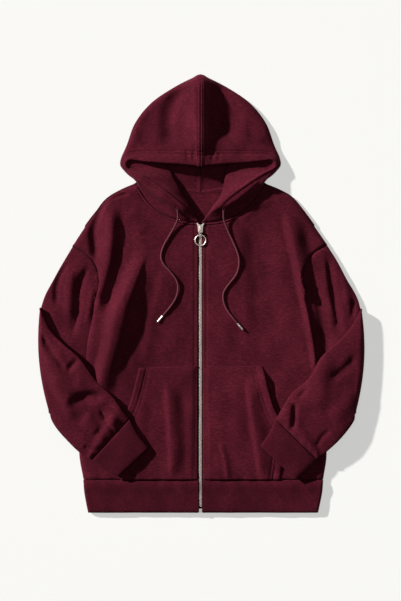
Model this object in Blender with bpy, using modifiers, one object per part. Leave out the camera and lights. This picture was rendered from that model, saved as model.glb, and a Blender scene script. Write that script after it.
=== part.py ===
"""A zip-up hoodie of brushed fleece, laid flat on its back with its sleeves folded over the front.

Sizes and tables are in millimetres. +X is to the right as the garment is seen from above, +Y runs
from the hem to the hood and +Z is up. The origin is on the floor, under the middle of the garment.
"""

import math
from collections import namedtuple

import bmesh
import bpy
import numpy as np
from mathutils import Matrix, Vector
from mathutils.bvhtree import BVHTree

MM = 0.001

# Cloth
FLEECE = 2.2
RIB = 2.8
POCKET_CLOTH = 1.8
SEAM_GAP = 0.35
POCKET_GAP = 0.6
EDGE_INSET = 0.2  # how far a panel stops short of the line that it shares with its neighbour
FRONT_TOP = 12.5  # top of a smooth front, lying on the back
EDGE_TOP = 4.9  # top of a front where it comes down to the back's edge
EDGE_ROLL = 14.0  # how far in from its edge a front is rounded
TUBE_HEIGHT = 12.4  # a sleeve lying flat, both layers

# Lengths along the garment
NECK_Y = 147.4
HEM_SEAM_Y = -386.0
HEM_END_Y = -454.3
PLACKET_X = 4.5  # zip edge of each front

# Zip
CHAIN_HALF_WIDTH = 3.0
CHAIN_LOW, CHAIN_TOP = 8.8, 11.3
CHAIN_END_Y, BOX_END_Y = -445.0, -453.5
TAPE_EDGE_X = 16.0
TAPE_LOW, TAPE_TOP = 8.5, 9.3
PIN_Y, PIN_Z, PIN_RADIUS = 126.4, 16.5, 0.75
RING_RADIUS, RING_WIRE = 11.05, 1.2
RING_TOP_Y = 120.95
LINK_HALF_WIDTH = 1.5

# Drawstring
CORD_RADIUS = 1.9
AGLET_RADIUS, AGLET_LENGTH = 2.4, 17.0
CORD_CLEARANCE = 0.5
CORD_SPACING = 9.5

# The outline of the body, a row for each height along it.
Side = namedtuple("Side", "y left right")
SIDES = (
    Side(HEM_SEAM_Y, -243.0, 254.6),
    Side(-324.0, -252.0, 261.9),
    Side(-220.0, -246.0, 251.0),
    Side(-112.0, -238.1, 239.5),
    Side(-46.6, -226.3, 228.5),
    Side(-13.0, -220.0, 220.5),
)
Shoulder = namedtuple("Shoulder", "left_x left_y right_x right_y")
SHOULDERS = (
    Shoulder(-131.4, 228.2, 131.4, 227.3),
    Shoulder(-164.6, 214.0, 163.0, 214.5),
    Shoulder(-194.2, 195.9, 190.0, 198.5),
    Shoulder(-218.0, 167.0, 214.0, 170.0),
    Shoulder(-242.3, 134.0, 238.5, 136.5),
    Shoulder(-266.0, 97.7, 262.9, 101.2),
)
NECK_SPANS = 8
NECK_BOW = 25.0  # how far the neck seam curves down from a straight line
ARMHOLE_BOW = 30.0  # how far the armhole seam curves into the body
NAPE = (0.0, 210.0)

# The largest ridges (+) and troughs (-) of each front: a path of four points, then the height
# and how far the fold reaches to each side of it.
Fold = namedtuple("Fold", "path height reach")
FOLDS = {
    "left": (
        Fold(((-190, 186), (-192, 136), (-203, 71), (-213, 22)), 7.0, 20.0),
        Fold(((-112, 62), (-118, 0), (-128, -60), (-140, -130)), -2.6, 26.0),
        Fold(((-150, 180), (-156, 110), (-158, 60), (-176, 0)), -2.8, 22.0),
    ),
    "right": (
        Fold(((184, 186), (199, 141), (202, 80), (213, 22)), 7.0, 20.0),
        Fold(((165, 150), (172, 60), (182, -20), (190, -110)), 3.0, 30.0),
    ),
}

# A sleeve, a row for each ring: the over-arm edge a, the underarm edge b, the bottom of the ring,
# and how far its middle bows towards the body. It folds over at the elbow between the two tables.
Ring = namedtuple("Ring", "ax ay bx by base bow")
UPPER_ARM = {
    "left": (
        Ring(-267.2, 97.6, -221.6, -14.6, 0.0, ARMHOLE_BOW),
        Ring(-288.0, 59.0, -233.0, -62.0, 0.0, 15.0),
        Ring(-308.0, 23.0, -244.0, -126.0, 0.0, 5.0),
        Ring(-319.0, 2.0, -256.0, -176.0, 0.0, 2.0),
        Ring(-323.0, -14.0, -282.0, -220.0, 0.0, 0.0),
        Ring(-327.5, -31.0, -307.5, -246.0, 0.0, 0.0),
    ),
    "right": (
        Ring(264.3, 101.1, 223.0, -14.8, 0.0, ARMHOLE_BOW),
        Ring(284.0, 66.0, 235.0, -62.0, 0.0, 15.0),
        Ring(304.0, 28.0, 246.0, -126.0, 0.0, 5.0),
        Ring(316.0, 3.0, 259.0, -176.0, 0.0, 2.0),
        Ring(323.0, -15.0, 287.0, -220.0, 0.0, 0.0),
        Ring(328.0, -34.0, 315.0, -247.0, 0.0, 0.0),
    ),
}
FOREARM = {
    "left": (
        Ring(-327.5, -32.0, -307.5, -246.0, 14.6, 0.0),
        Ring(-310.0, -76.0, -307.0, -267.0, 15.2, 0.0),
        Ring(-280.5, -106.0, -290.0, -287.0, 18.0, 0.0),
        Ring(-247.0, -136.0, -273.0, -304.0, 20.6, 0.0),
        Ring(-214.0, -181.0, -254.0, -323.5, 20.6, 0.0),
        Ring(-180.0, -214.0, -238.0, -335.0, 19.0, 0.0),
        Ring(-146.5, -259.0, -224.0, -343.5, 17.4, 0.0),
    ),
    "right": (
        Ring(328.0, -35.0, 315.0, -247.0, 14.6, 0.0),
        Ring(310.0, -72.0, 313.5, -268.0, 15.2, 0.0),
        Ring(283.0, -100.0, 299.0, -287.0, 18.0, 0.0),
        Ring(248.0, -132.0, 282.0, -305.0, 20.6, 0.0),
        Ring(222.0, -176.0, 264.0, -322.5, 20.6, 0.0),
        Ring(187.0, -207.0, 251.0, -333.0, 19.0, 0.0),
        Ring(154.8, -260.0, 238.6, -341.0, 17.4, 0.0),
    ),
}
TURN_STEPS = 5
RING_POINTS = 20
CUFFS = {
    "left": (
        Ring(-146.2, -259.5, -223.7, -344.0, 16.8, 0.0),
        Ring(-129.0, -290.0, -199.0, -362.0, 16.4, 0.0),
        Ring(-107.6, -318.8, -169.7, -377.8, 16.0, 0.0),
    ),
    "right": (
        Ring(154.5, -260.5, 238.3, -341.5, 16.8, 0.0),
        Ring(141.0, -289.0, 218.0, -362.0, 16.4, 0.0),
        Ring(123.6, -314.6, 196.2, -383.0, 16.0, 0.0),
    ),
}
CUFF_HEIGHT = 13.6

# The left half of the hood, a row for each line from the front edge (f) over the fold at the
# hood's outline (c) to the centre back seam on the floor (k), with the heights of the front edge
# and of the middle. The right half is its mirror image.
HoodRow = namedtuple("HoodRow", "fx fy f_top cx cy mid_top ky bow")
HOOD_ROWS = (
    HoodRow(-4.5, 147.6, 12.5, -131.6, 228.8, 12.5, 210.3, NECK_BOW),
    HoodRow(-28.0, 176.0, 17.0, -139.0, 237.5, 16.0, 222.0, 5.0),
    HoodRow(-72.0, 212.0, 23.0, -149.0, 245.0, 19.0, 236.0, 2.0),
    HoodRow(-118.0, 243.0, 22.0, -158.0, 254.0, 19.0, 252.0, 0.0),
    HoodRow(-150.0, 259.5, 17.0, -166.5, 266.5, 16.0, 270.0, 0.0),
    HoodRow(-146.0, 275.5, 18.0, -163.5, 283.0, 16.0, 292.0, 0.0),
    HoodRow(-116.0, 272.0, 22.0, -151.0, 308.0, 17.0, 318.0, 0.0),
    HoodRow(-80.0, 268.5, 24.0, -132.0, 354.0, 16.0, 348.0, 0.0),
    HoodRow(-46.0, 266.0, 24.0, -98.0, 394.0, 15.0, 378.0, 0.0),
    HoodRow(-20.0, 263.5, 26.0, -48.0, 428.0, 17.0, 408.0, 0.0),
    HoodRow(-0.2, 261.0, 28.0, -0.2, 454.6, 22.0, 432.0, 0.0),
)
HOOD_EDGE = 5.6  # height of the skin at the fold, half way round it
HOOD_ROLL = 12.0
HOOD_SEAM_STRIP = 4.0  # the two halves run level beside the centre seam

# Pockets, the inner edge at the zip, and the slanted hand opening down to the hem.
Opening = namedtuple("Opening", "left_x left_y right_x right_y")
POCKET_EDGE = (
    Opening(-165.0, -385.6, 164.0, -385.6),
    Opening(-170.0, -340.0, 170.0, -345.0),
    Opening(-171.5, -286.0, 173.5, -286.0),
    Opening(-146.0, -226.0, 149.0, -228.0),
    Opening(-127.0, -153.6, 129.0, -151.5),
)
POCKET_TOP_Y = -150.5

# Each free end of the drawstring, from its eyelet to the aglet, seen from above.
CORD_ROUTES = {
    "left": (
        (-47.6, 172.8),
        (-46.2, 155.7),
        (-52.8, 139.9),
        (-64.8, 118.8),
        (-76.6, 97.7),
        (-82.0, 76.6),
        (-76.6, 60.7),
        (-62.1, 44.9),
        (-48.9, 26.3),
        (-46.2, 10.6),
        (-50.1, -7.9),
        (-59.4, -23.8),
        (-70.0, -37.1),
        (-77.8, -46.2),
    ),
    "right": (
        (47.6, 171.2),
        (47.6, 154.6),
        (53.2, 137.9),
        (64.4, 113.0),
        (75.3, 88.0),
        (80.3, 65.8),
        (75.3, 41.0),
        (62.9, 24.2),
        (50.5, 7.7),
        (46.4, -6.2),
        (50.5, -25.7),
        (61.5, -43.7),
        (76.6, -62.0),
    ),
}

BURGUNDY = (0.105, 0.018, 0.032)
RIB_BURGUNDY = (0.085, 0.014, 0.026)
STEEL = (0.62, 0.60, 0.57)


def clear_scene():
    for obj in list(bpy.data.objects):
        bpy.data.objects.remove(obj, do_unlink=True)


def make_material(name, colour, roughness, metallic=0.0):
    material = bpy.data.materials.new(name)
    material.use_nodes = True
    shader = material.node_tree.nodes["Principled BSDF"]
    shader.inputs["Base Color"].default_value = (*colour, 1.0)
    shader.inputs["Roughness"].default_value = roughness
    shader.inputs["Metallic"].default_value = metallic
    return material


def add_node(name, data, colour, roughness, metallic=0.0, place=(0, 0, 0)):
    """An object of the garment, with a material of its own."""
    obj = bpy.data.objects.new(name, data)
    obj.location = Vector(place) * MM
    obj.data.materials.append(make_material(name, colour, roughness, metallic))
    bpy.data.collections["hoodie"].objects.link(obj)
    return obj


def smooth_path(points, fractions):
    """Points at these fractions of the length of a smooth curve through the given points."""
    points = np.array(points, float)
    first, last = 2 * points[0] - points[1], 2 * points[-1] - points[-2]
    knots = np.vstack([first, points, last])
    t = np.linspace(0, 1, 16, endpoint=False)[:, None]
    spans = []
    for p0, p1, p2, p3 in zip(knots, knots[1:], knots[2:], knots[3:]):
        cubic = (3 * p1 - p0 - 3 * p2 + p3) * t**3 + (2 * p0 - 5 * p1 + 4 * p2 - p3) * t**2
        spans.append(p1 + 0.5 * ((p2 - p0) * t + cubic))
    fine = np.vstack(spans + [points[-1:]])
    steps = np.linalg.norm(np.diff(fine, axis=0), axis=1)
    run = np.concatenate([[0.0], np.cumsum(steps)])
    at = run[-1] * np.asarray(fractions)
    return np.column_stack([np.interp(at, run, axis) for axis in fine.T])


def bowed_line(a, b, bow, fractions):
    """Points from a to b on a line that bows to its left by bow in the middle."""
    a, b = np.array(a, float), np.array(b, float)
    along = (b - a) / np.linalg.norm(b - a)
    w = np.asarray(fractions)[:, None]
    return a + (b - a) * w + 4 * bow * w * (1 - w) * np.array([-along[1], along[0]])


def shoulder_line(side):
    return [(s.left_x, s.left_y) if side == "left" else (s.right_x, s.right_y) for s in SHOULDERS]


def side_line(side):
    return [(getattr(row, side), row.y) for row in SIDES]


def neck_seam(side, fractions):
    """The front neck seam, from the zip to the top of the shoulder."""
    x = -PLACKET_X if side == "left" else PLACKET_X
    bow = NECK_BOW if side == "left" else -NECK_BOW
    return bowed_line((x, NECK_Y), shoulder_line(side)[0], bow, fractions)


def armhole_seam(side, fractions):
    """The armhole seam, from the armpit to the shoulder tip."""
    bow = -ARMHOLE_BOW if side == "left" else ARMHOLE_BOW
    return bowed_line(side_line(side)[-1], shoulder_line(side)[-1], bow, fractions)


def distance_to(path, xy):
    """Distance of each point to a path, and how far along the path its nearest point is."""
    path = np.array(path, float)
    best = np.full(len(xy), np.inf)
    along = np.zeros(len(xy))
    for i, (p, q) in enumerate(zip(path, path[1:])):
        t = np.clip(((xy - p) @ (q - p)) / ((q - p) @ (q - p)), 0, 1)
        d = np.linalg.norm(xy - p - t[:, None] * (q - p), axis=1)
        nearer = d < best
        best[nearer] = d[nearer]
        along[nearer] = (i + t[nearer]) / (len(path) - 1)
    return best, along


def rounded(share):
    """The height of a rounded edge, from 0 at the edge to 1 where the rounding ends."""
    return np.sqrt(1 - (1 - np.clip(share, 0, 1)) ** 2)


def front_height(side, xy):
    """Height of the top of a front over each point: rounded at its edges, with its folds."""
    xy = np.asarray(xy, float)
    to_side, _ = distance_to(side_line(side), xy)
    to_shoulder, _ = distance_to(shoulder_line(side), xy)
    inward = np.minimum(to_side, to_shoulder)
    top = np.full(len(xy), FRONT_TOP)
    for fold in FOLDS[side]:
        away, along = distance_to(fold.path, xy)
        across = 0.5 + 0.5 * np.cos(np.pi * np.clip(away / fold.reach, 0, 1))
        fade = np.clip(np.minimum(along, 1 - along) / 0.2, 0, 1)
        top += fold.height * across * fade
    return EDGE_TOP + (top - EDGE_TOP) * rounded(inward / EDGE_ROLL)


def towards_end(spans, power=1.5):
    """Fractions from 0 to 1 that come closer together towards 1."""
    return 1 - (1 - np.linspace(0, 1, spans + 1)) ** power


def ring_section():
    """Round a flattened ring: shares of the way across it, and heights from -1 to 1."""
    angle = np.arange(RING_POINTS) * 2 * math.pi / RING_POINTS
    c, s = np.cos(angle), np.sin(angle)
    return 0.5 - 0.5 * np.sign(c) * np.abs(c) ** 0.75, np.sign(s) * np.abs(s) ** 0.6


def patch(low, high, near, far, u, v):
    """A grid between four edges: low and high run along u, and near and far, along v, pull on it."""
    u, v = u[None, :, None], v[:, None, None]
    ruled = (1 - v) * low[None] + v * high[None]
    near_pull = near[:, None] - ruled[:, :1]
    far_pull = far[:, None] - ruled[:, -1:]
    return ruled + (1 - u) ** 5 * near_pull + u**5 * far_pull


def loft(name, rows, wall, colour, closed=False, outside_in=False):
    """Cloth through rows of points. Its wall lies under the skin that the rows make."""
    rows = np.asarray(rows, float) * MM
    mesh = bmesh.new()
    points = [[mesh.verts.new(p) for p in row] for row in rows]
    count = rows.shape[1]
    for row, after in zip(points, points[1:]):
        for i in range(count if closed else count - 1):
            j = (i + 1) % count
            corners = [row[i], row[j], after[j], after[i]]
            mesh.faces.new(corners[::-1] if outside_in else corners)
    data = bpy.data.meshes.new(name)
    mesh.to_mesh(data)
    mesh.free()
    data.shade_smooth()
    obj = add_node(name, data, colour, 0.9)
    shell = obj.modifiers.new("cloth", "SOLIDIFY")
    shell.thickness = wall * MM
    shell.offset = -1.0
    return obj


def make_back():
    """The back: one panel, flat on the floor, from the neck to the hem seam."""
    rest = np.linspace(0, 1, 9)
    across = ring_section()[0][: RING_POINTS // 2 + 1]
    right = np.vstack(
        [
            smooth_path(side_line("right"), rest) - (EDGE_INSET, 0),
            armhole_seam("right", across)[1:] - (EDGE_INSET, 0),
            smooth_path(shoulder_line("right")[::-1], rest)[1:] - (0, 2 * EDGE_INSET),
            [NAPE],
        ]
    )
    left = np.vstack(
        [
            smooth_path(shoulder_line("left"), rest) - (0, 2 * EDGE_INSET),
            armhole_seam("left", across)[::-1][1:] + (EDGE_INSET, 0),
            smooth_path(side_line("left")[::-1], rest)[1:] + (EDGE_INSET, 0),
        ]
    )
    outline = np.vstack([right, left])
    outline[[0, -1], 1] += SEAM_GAP
    curve = bpy.data.curves.new("back", "CURVE")
    curve.dimensions = "2D"
    curve.fill_mode = "BOTH"
    curve.extrude = FLEECE / 2 * MM
    spline = curve.splines.new("POLY")
    spline.use_cyclic_u = True
    spline.points.add(len(outline) - 1)
    for point, (x, y) in zip(spline.points, outline * MM):
        point.co = (x, y, 0, 1)
    add_node("back", curve, BURGUNDY, 0.9, place=(0, 0, FLEECE / 2))


def make_front(side):
    """A front: neck seam and shoulder above, zip edge, side and armhole, hem seam below."""
    sign = -1 if side == "left" else 1
    across_shoulder = np.linspace(0, 1, 7)
    up_side, up_armhole = np.linspace(0, 1, 13), ring_section()[0][: RING_POINTS // 2 + 1]
    inset = np.array([sign * EDGE_INSET, 0])
    along_neck = towards_end(NECK_SPANS)
    neck = neck_seam(side, along_neck) + np.outer(along_neck, (3 * sign * SEAM_GAP, 0)) - (0, SEAM_GAP)
    shoulder = smooth_path(shoulder_line(side), across_shoulder) - (0, SEAM_GAP)
    high = np.vstack([neck[:-1], shoulder])
    u = towards_end(len(high) - 1)
    body_side = smooth_path(side_line(side), up_side)
    far = np.vstack([body_side, armhole_seam(side, up_armhole)[1:]]) - inset
    far[-1] = high[-1]
    far[0, 1] += SEAM_GAP
    v = (far[:, 1] - far[0, 1]) / (far[-1, 1] - far[0, 1])
    near = np.array([[high[0, 0], far[0, 1]]]) * (1 - v[:, None]) + high[0] * v[:, None]
    low = near[0] + u[:, None] * (far[0] - near[0])
    grid = patch(low, high, near, far, u, v)
    top = front_height(side, grid.reshape(-1, 2)).reshape(grid.shape[:2])
    rows = np.dstack([grid, top])
    return loft(f"front_{side}", rows, FLEECE, BURGUNDY, outside_in=side == "left")


def drop_on(cloths, xy, reach=0.0):
    """Height of the highest of these cloths over each point, or within reach of it."""
    graph = bpy.context.evaluated_depsgraph_get()
    trees = [BVHTree.FromObject(cloth, graph) for cloth in cloths]
    tops = []
    around = [(0, 0)] + [(reach * math.cos(a), reach * math.sin(a)) for a in np.arange(8) * math.pi / 4]
    for x, y in xy:
        hits = []
        for dx, dy in around:
            start = Vector(((x + dx) * MM, (y + dy) * MM, 1.0))
            for tree in trees:
                hit = tree.ray_cast(start, Vector((0, 0, -1)))[0]
                if hit is not None:
                    hits.append(hit.z / MM)
        tops.append(max(hits))
    return np.array(tops)


def make_pocket(side, front):
    """A kangaroo pocket, lying on its front, from the zip to the slanted hand opening."""
    sign = -1 if side == "left" else 1
    u, v = np.linspace(0, 1, 11), np.linspace(0, 1, 15)
    opening = [(r.left_x, r.left_y) if side == "left" else (r.right_x, r.right_y) for r in POCKET_EDGE]
    far = smooth_path(opening, v)
    near = np.column_stack([np.full(len(v), sign * (PLACKET_X + POCKET_GAP)), far[0, 1] + v * (POCKET_TOP_Y - far[0, 1])])
    low = near[0] + u[:, None] * (far[0] - near[0])
    high = near[-1] + u[:, None] * (far[-1] - near[-1])
    grid = patch(low, high, near, far, u, v)
    top = drop_on([front], grid.reshape(-1, 2)) + POCKET_GAP + POCKET_CLOTH
    rows = np.dstack([grid, top.reshape(grid.shape[:2])])
    return loft(f"pocket_{side}", rows, POCKET_CLOTH, BURGUNDY, outside_in=side == "left")


def flat_ring(row, height, turn=0.0, outward=(0.0, 0.0), middle=None):
    """A flattened ring of cloth from edge a to edge b, turned over by turn about its length."""
    a, b = np.array([row.ax, row.ay]), np.array([row.bx, row.by])
    w, rise = ring_section()
    rise = 0.5 * height * rise
    side = 1 if row.ax < 0 else -1
    xy = bowed_line(a, b, side * row.bow, w)
    xy = xy - np.outer(rise, outward) * math.sin(turn)
    z = (row.base + height / 2 if middle is None else middle) + rise * math.cos(turn)
    return np.column_stack([xy, z])


def make_sleeve(side):
    """A sleeve: the upper arm beside the body, then the forearm folded back over it."""
    upper, fore = UPPER_ARM[side], FOREARM[side]
    rings = [flat_ring(row, TUBE_HEIGHT) for row in upper]
    start, end = upper[-1], fore[0]
    crease = np.array([start.bx - start.ax, start.by - start.ay])
    crease /= np.linalg.norm(crease)
    outward = np.array([crease[1], -crease[0]]) * (1 if side == "left" else -1)
    radius = (end.base - start.base) / 2
    level = start.base + TUBE_HEIGHT / 2 + radius
    for step in range(1, TURN_STEPS):
        turn = math.pi * step / TURN_STEPS
        dx, dy = outward * radius * math.sin(turn)
        moved = start._replace(ax=start.ax + dx, ay=start.ay + dy, bx=start.bx + dx, by=start.by + dy)
        rings.append(flat_ring(moved, TUBE_HEIGHT, turn, outward, level - radius * math.cos(turn)))
    rings += [flat_ring(row, TUBE_HEIGHT, math.pi) for row in fore]
    return loft(f"sleeve_{side}", rings, FLEECE, BURGUNDY, closed=True, outside_in=side == "left")


def make_cuff(side):
    """A rib cuff, sewn to the end of its sleeve."""
    rings = [flat_ring(row, CUFF_HEIGHT, math.pi) for row in CUFFS[side]]
    loft(f"cuff_{side}", rings, RIB, RIB_BURGUNDY, closed=True, outside_in=side == "left")


def hem_section(left, right):
    """The hem band seen from its end: over the left front, round under the back, and back over."""
    radius = FRONT_TOP / 2
    turn = np.linspace(0, math.pi, 6)
    bulge, level = radius * np.sin(turn), radius * np.cos(turn)
    over = np.linspace(-PLACKET_X, left + radius, 6)[:-1]
    under = np.linspace(left + radius, right - radius, 9)[1:-1]
    back_over = np.linspace(right - radius, PLACKET_X, 6)[1:]
    x = np.concatenate([over, left + radius - bulge, under, right - radius + bulge, back_over])
    top, floor = np.full(5, FRONT_TOP), np.zeros(7)
    z = np.concatenate([top, radius + level, floor, radius - level, top])
    return x, z


def make_hem():
    """The rib band round the hem, open at the zip."""
    rows = []
    for y, left, right in (
        (HEM_SEAM_Y - SEAM_GAP, SIDES[0].left, SIDES[0].right),
        (-412.0, -241.0, 252.5),
        (-440.0, -236.0, 247.0),
        (HEM_END_Y, -232.9, 243.8),
    ):
        x, z = hem_section(left, right)
        rows.append(np.column_stack([x, np.full(len(x), y), z]))
    loft("hem_rib", rows, RIB, RIB_BURGUNDY, outside_in=False)


def hood_line(row, first):
    """One line of cloth over the left half of the hood, from its front edge to its back seam."""
    front, fold, back = (row.fx, row.fy), (row.cx, row.cy), (-0.2, row.ky)
    over = bowed_line(front, fold, row.bow, towards_end(NECK_SPANS))
    inward = np.linalg.norm(over - np.array(fold), axis=1)
    share = np.linspace(0, 1, len(over))
    top = row.f_top + (row.mid_top - row.f_top) * share
    height = HOOD_EDGE + (top - HOOD_EDGE) * rounded(inward / HOOD_ROLL)
    if first:
        height = front_height("left", over)
        height[-1] = HOOD_EDGE
    way = np.array(back) - np.array(fold)
    way /= np.linalg.norm(way)
    turn = np.linspace(0, math.pi / 2, 4)[1:]
    under = np.array(fold) + np.outer(HOOD_EDGE * (1 - np.cos(turn)), way)
    lower = under[-1] + np.linspace(0, 1, 6)[1:, None] * (np.array(back) - under[-1])
    xy = np.vstack([over, under, lower])
    z = np.concatenate([height, HOOD_EDGE * (1 - np.sin(turn)), np.zeros(5)])
    return np.column_stack([xy, z])


def make_hood(side):
    """Half of the hood: its crown lies folded forward over its back, along the outline."""
    rows = [hood_line(row, i == 0) for i, row in enumerate(HOOD_ROWS)]
    rows = np.array(rows[:-1] + [rows[-1] - (HOOD_SEAM_STRIP, 0, 0), rows[-1]])
    if side == "right":
        rows[:, :, 0] *= -1
    return loft(f"hood_{side}", rows, FLEECE, BURGUNDY, outside_in=side == "left")


def make_box(name, low, high, colour, roughness=0.9, metallic=0.0):
    """A plain block between two corners."""
    mesh = bmesh.new()
    bmesh.ops.create_cube(mesh, size=1.0)
    low, high = Vector(low), Vector(high)
    bmesh.ops.scale(mesh, vec=(high - low) * MM, verts=mesh.verts)
    data = bpy.data.meshes.new(name)
    mesh.to_mesh(data)
    mesh.free()
    return add_node(name, data, colour, roughness, metallic, (low + high) / 2)


def make_rod(name, radius, x_from, x_to, y, z, sides=20):
    """A round bar across the zip, along X."""
    mesh = bmesh.new()
    bmesh.ops.create_cone(
        mesh,
        cap_ends=True,
        segments=sides,
        radius1=radius * MM,
        radius2=radius * MM,
        depth=(x_to - x_from) * MM,
    )
    bmesh.ops.rotate(mesh, matrix=Matrix.Rotation(math.pi / 2, 3, "Y"), verts=mesh.verts)
    data = bpy.data.meshes.new(name)
    mesh.to_mesh(data)
    mesh.free()
    return add_node(name, data, STEEL, 0.3, 1.0, ((x_from + x_to) / 2, y, z))


def make_plate(name, outline, low, high):
    """A flat plate of this outline, lying level between two heights."""
    curve = bpy.data.curves.new(name, "CURVE")
    curve.dimensions = "2D"
    curve.fill_mode = "BOTH"
    curve.extrude = (high - low) / 2 * MM
    spline = curve.splines.new("POLY")
    spline.use_cyclic_u = True
    spline.points.add(len(outline) - 1)
    for point, (x, y) in zip(spline.points, outline):
        point.co = (x * MM, y * MM, 0, 1)
    flat = add_node(name, curve, STEEL, 0.3, 1.0, (0, 0, (low + high) / 2))
    return as_mesh(flat)


def as_mesh(obj):
    """The curve object made into a mesh object, its caps welded to its sides."""
    graph = bpy.context.evaluated_depsgraph_get()
    data = bpy.data.meshes.new_from_object(obj.evaluated_get(graph))
    mesh = bmesh.new()
    mesh.from_mesh(data)
    bmesh.ops.remove_doubles(mesh, verts=mesh.verts, dist=1e-6)
    bmesh.ops.recalc_face_normals(mesh, faces=mesh.faces)
    mesh.to_mesh(data)
    mesh.free()
    name = obj.name
    place = obj.matrix_world.copy()
    place.translation = obj.location
    bpy.data.objects.remove(obj)
    made = bpy.data.objects.new(name, data)
    made.matrix_world = place
    bpy.data.collections["hoodie"].objects.link(made)
    return made


def combine(obj, operation, others):
    """Joins the others to obj, or cuts them from it, and puts them with the cutters."""
    for other in others:
        change = obj.modifiers.new(other.name, "BOOLEAN")
        change.operation = operation
        change.object = other
        bpy.data.collections["hoodie"].objects.unlink(other)
        bpy.data.collections["cutters"].objects.link(other)
        other.hide_render = True
        other.display_type = "WIRE"


def make_zip():
    """Tapes, chain of teeth and the box that the chain ends in."""
    make_box(
        "zip_chain",
        (-CHAIN_HALF_WIDTH, CHAIN_END_Y, CHAIN_LOW),
        (CHAIN_HALF_WIDTH, NECK_Y - 6.8, CHAIN_TOP),
        STEEL,
        0.3,
        1.0,
    )
    make_box(
        "zip_box",
        (-CHAIN_HALF_WIDTH, BOX_END_Y, CHAIN_LOW - 0.5),
        (CHAIN_HALF_WIDTH, CHAIN_END_Y - SEAM_GAP, CHAIN_TOP + 1.2),
        STEEL,
        0.3,
        1.0,
    )
    inner = CHAIN_HALF_WIDTH + SEAM_GAP
    for side, edges in (("left", (-TAPE_EDGE_X, -inner)), ("right", (inner, TAPE_EDGE_X))):
        make_box(
            f"zip_tape_{side}",
            (edges[0], BOX_END_Y, TAPE_LOW),
            (edges[1], NECK_Y - 1.0, TAPE_TOP),
            RIB_BURGUNDY,
        )


def make_slider():
    """The slider: two plates joined by a post above the teeth, with a pin between two ears."""
    top_low, top_high = FRONT_TOP + SEAM_GAP, FRONT_TOP + 1.7
    post_top, tail = NECK_Y - 1.2, PIN_Y - 0.9
    shape = ((-8, post_top), (-8, 137), (-4.5, tail), (4.5, tail), (8, 137), (8, post_top))
    slider = make_plate("zip_slider", shape, top_low, top_high)
    under = make_plate("slider_underplate", shape, TAPE_LOW - SEAM_GAP - 1.4, TAPE_LOW - SEAM_GAP)
    post = make_box(
        "slider_post",
        (-1.6, post_top - 4.6, TAPE_LOW - 1.0),
        (1.6, post_top, top_low + 0.5),
        STEEL,
    )
    pieces = [under, post]
    ear_in, ear_out = LINK_HALF_WIDTH + 0.45, LINK_HALF_WIDTH + 1.6
    for name, x_from, x_to in (("ear_left", -ear_out, -ear_in), ("ear_right", ear_in, ear_out)):
        pieces.append(make_box(name, (x_from, PIN_Y - 0.7, top_high - 0.4), (x_to, PIN_Y + 2.1, PIN_Z), STEEL))
        pieces.append(make_rod(name + "_top", 2.1, x_from, x_to, PIN_Y, PIN_Z))
    pieces.append(make_rod("slider_pin", PIN_RADIUS, -ear_out + 0.3, ear_out - 0.3, PIN_Y, PIN_Z, 16))
    combine(slider, "UNION", pieces)


def make_link():
    """The small link between the slider's pin and the ring, an eye at each end."""
    ring_z = FRONT_TOP + SEAM_GAP + RING_WIRE
    half = LINK_HALF_WIDTH
    link = make_rod("pull_link", 1.9, -half, half, PIN_Y, PIN_Z)
    eye = make_rod("link_low_eye", 2.35, -half, half, RING_TOP_Y, ring_z)
    bar = make_box("link_bar", (-half, -3.0, -1.0), (half, 3.0, 1.0), STEEL)
    bar.location = Vector((0, (PIN_Y + RING_TOP_Y) / 2, (PIN_Z + ring_z) / 2)) * MM
    bar.rotation_euler.x = math.atan2(PIN_Z - ring_z, PIN_Y - RING_TOP_Y)
    combine(link, "UNION", [eye, bar])
    pin_hole = make_rod("link_pin_hole", 1.12, -half - 1, half + 1, PIN_Y, PIN_Z)
    ring_hole = make_rod("link_ring_hole", 1.66, -half - 1, half + 1, RING_TOP_Y, ring_z)
    combine(link, "DIFFERENCE", [pin_hole, ring_hole])


def make_ring():
    """The ring that is pulled, hanging in the link's lower eye."""
    bpy.ops.mesh.primitive_torus_add(
        major_radius=RING_RADIUS * MM,
        minor_radius=RING_WIRE * MM,
        major_segments=36,
        minor_segments=10,
    )
    torus = bpy.context.object
    data = torus.data
    for vertex in data.vertices:
        vertex.co.y -= RING_RADIUS * MM
    bpy.data.objects.remove(torus)
    data.shade_smooth()
    add_node("pull_ring", data, STEEL, 0.25, 1.0, (0, RING_TOP_Y, FRONT_TOP + SEAM_GAP + RING_WIRE))


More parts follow.
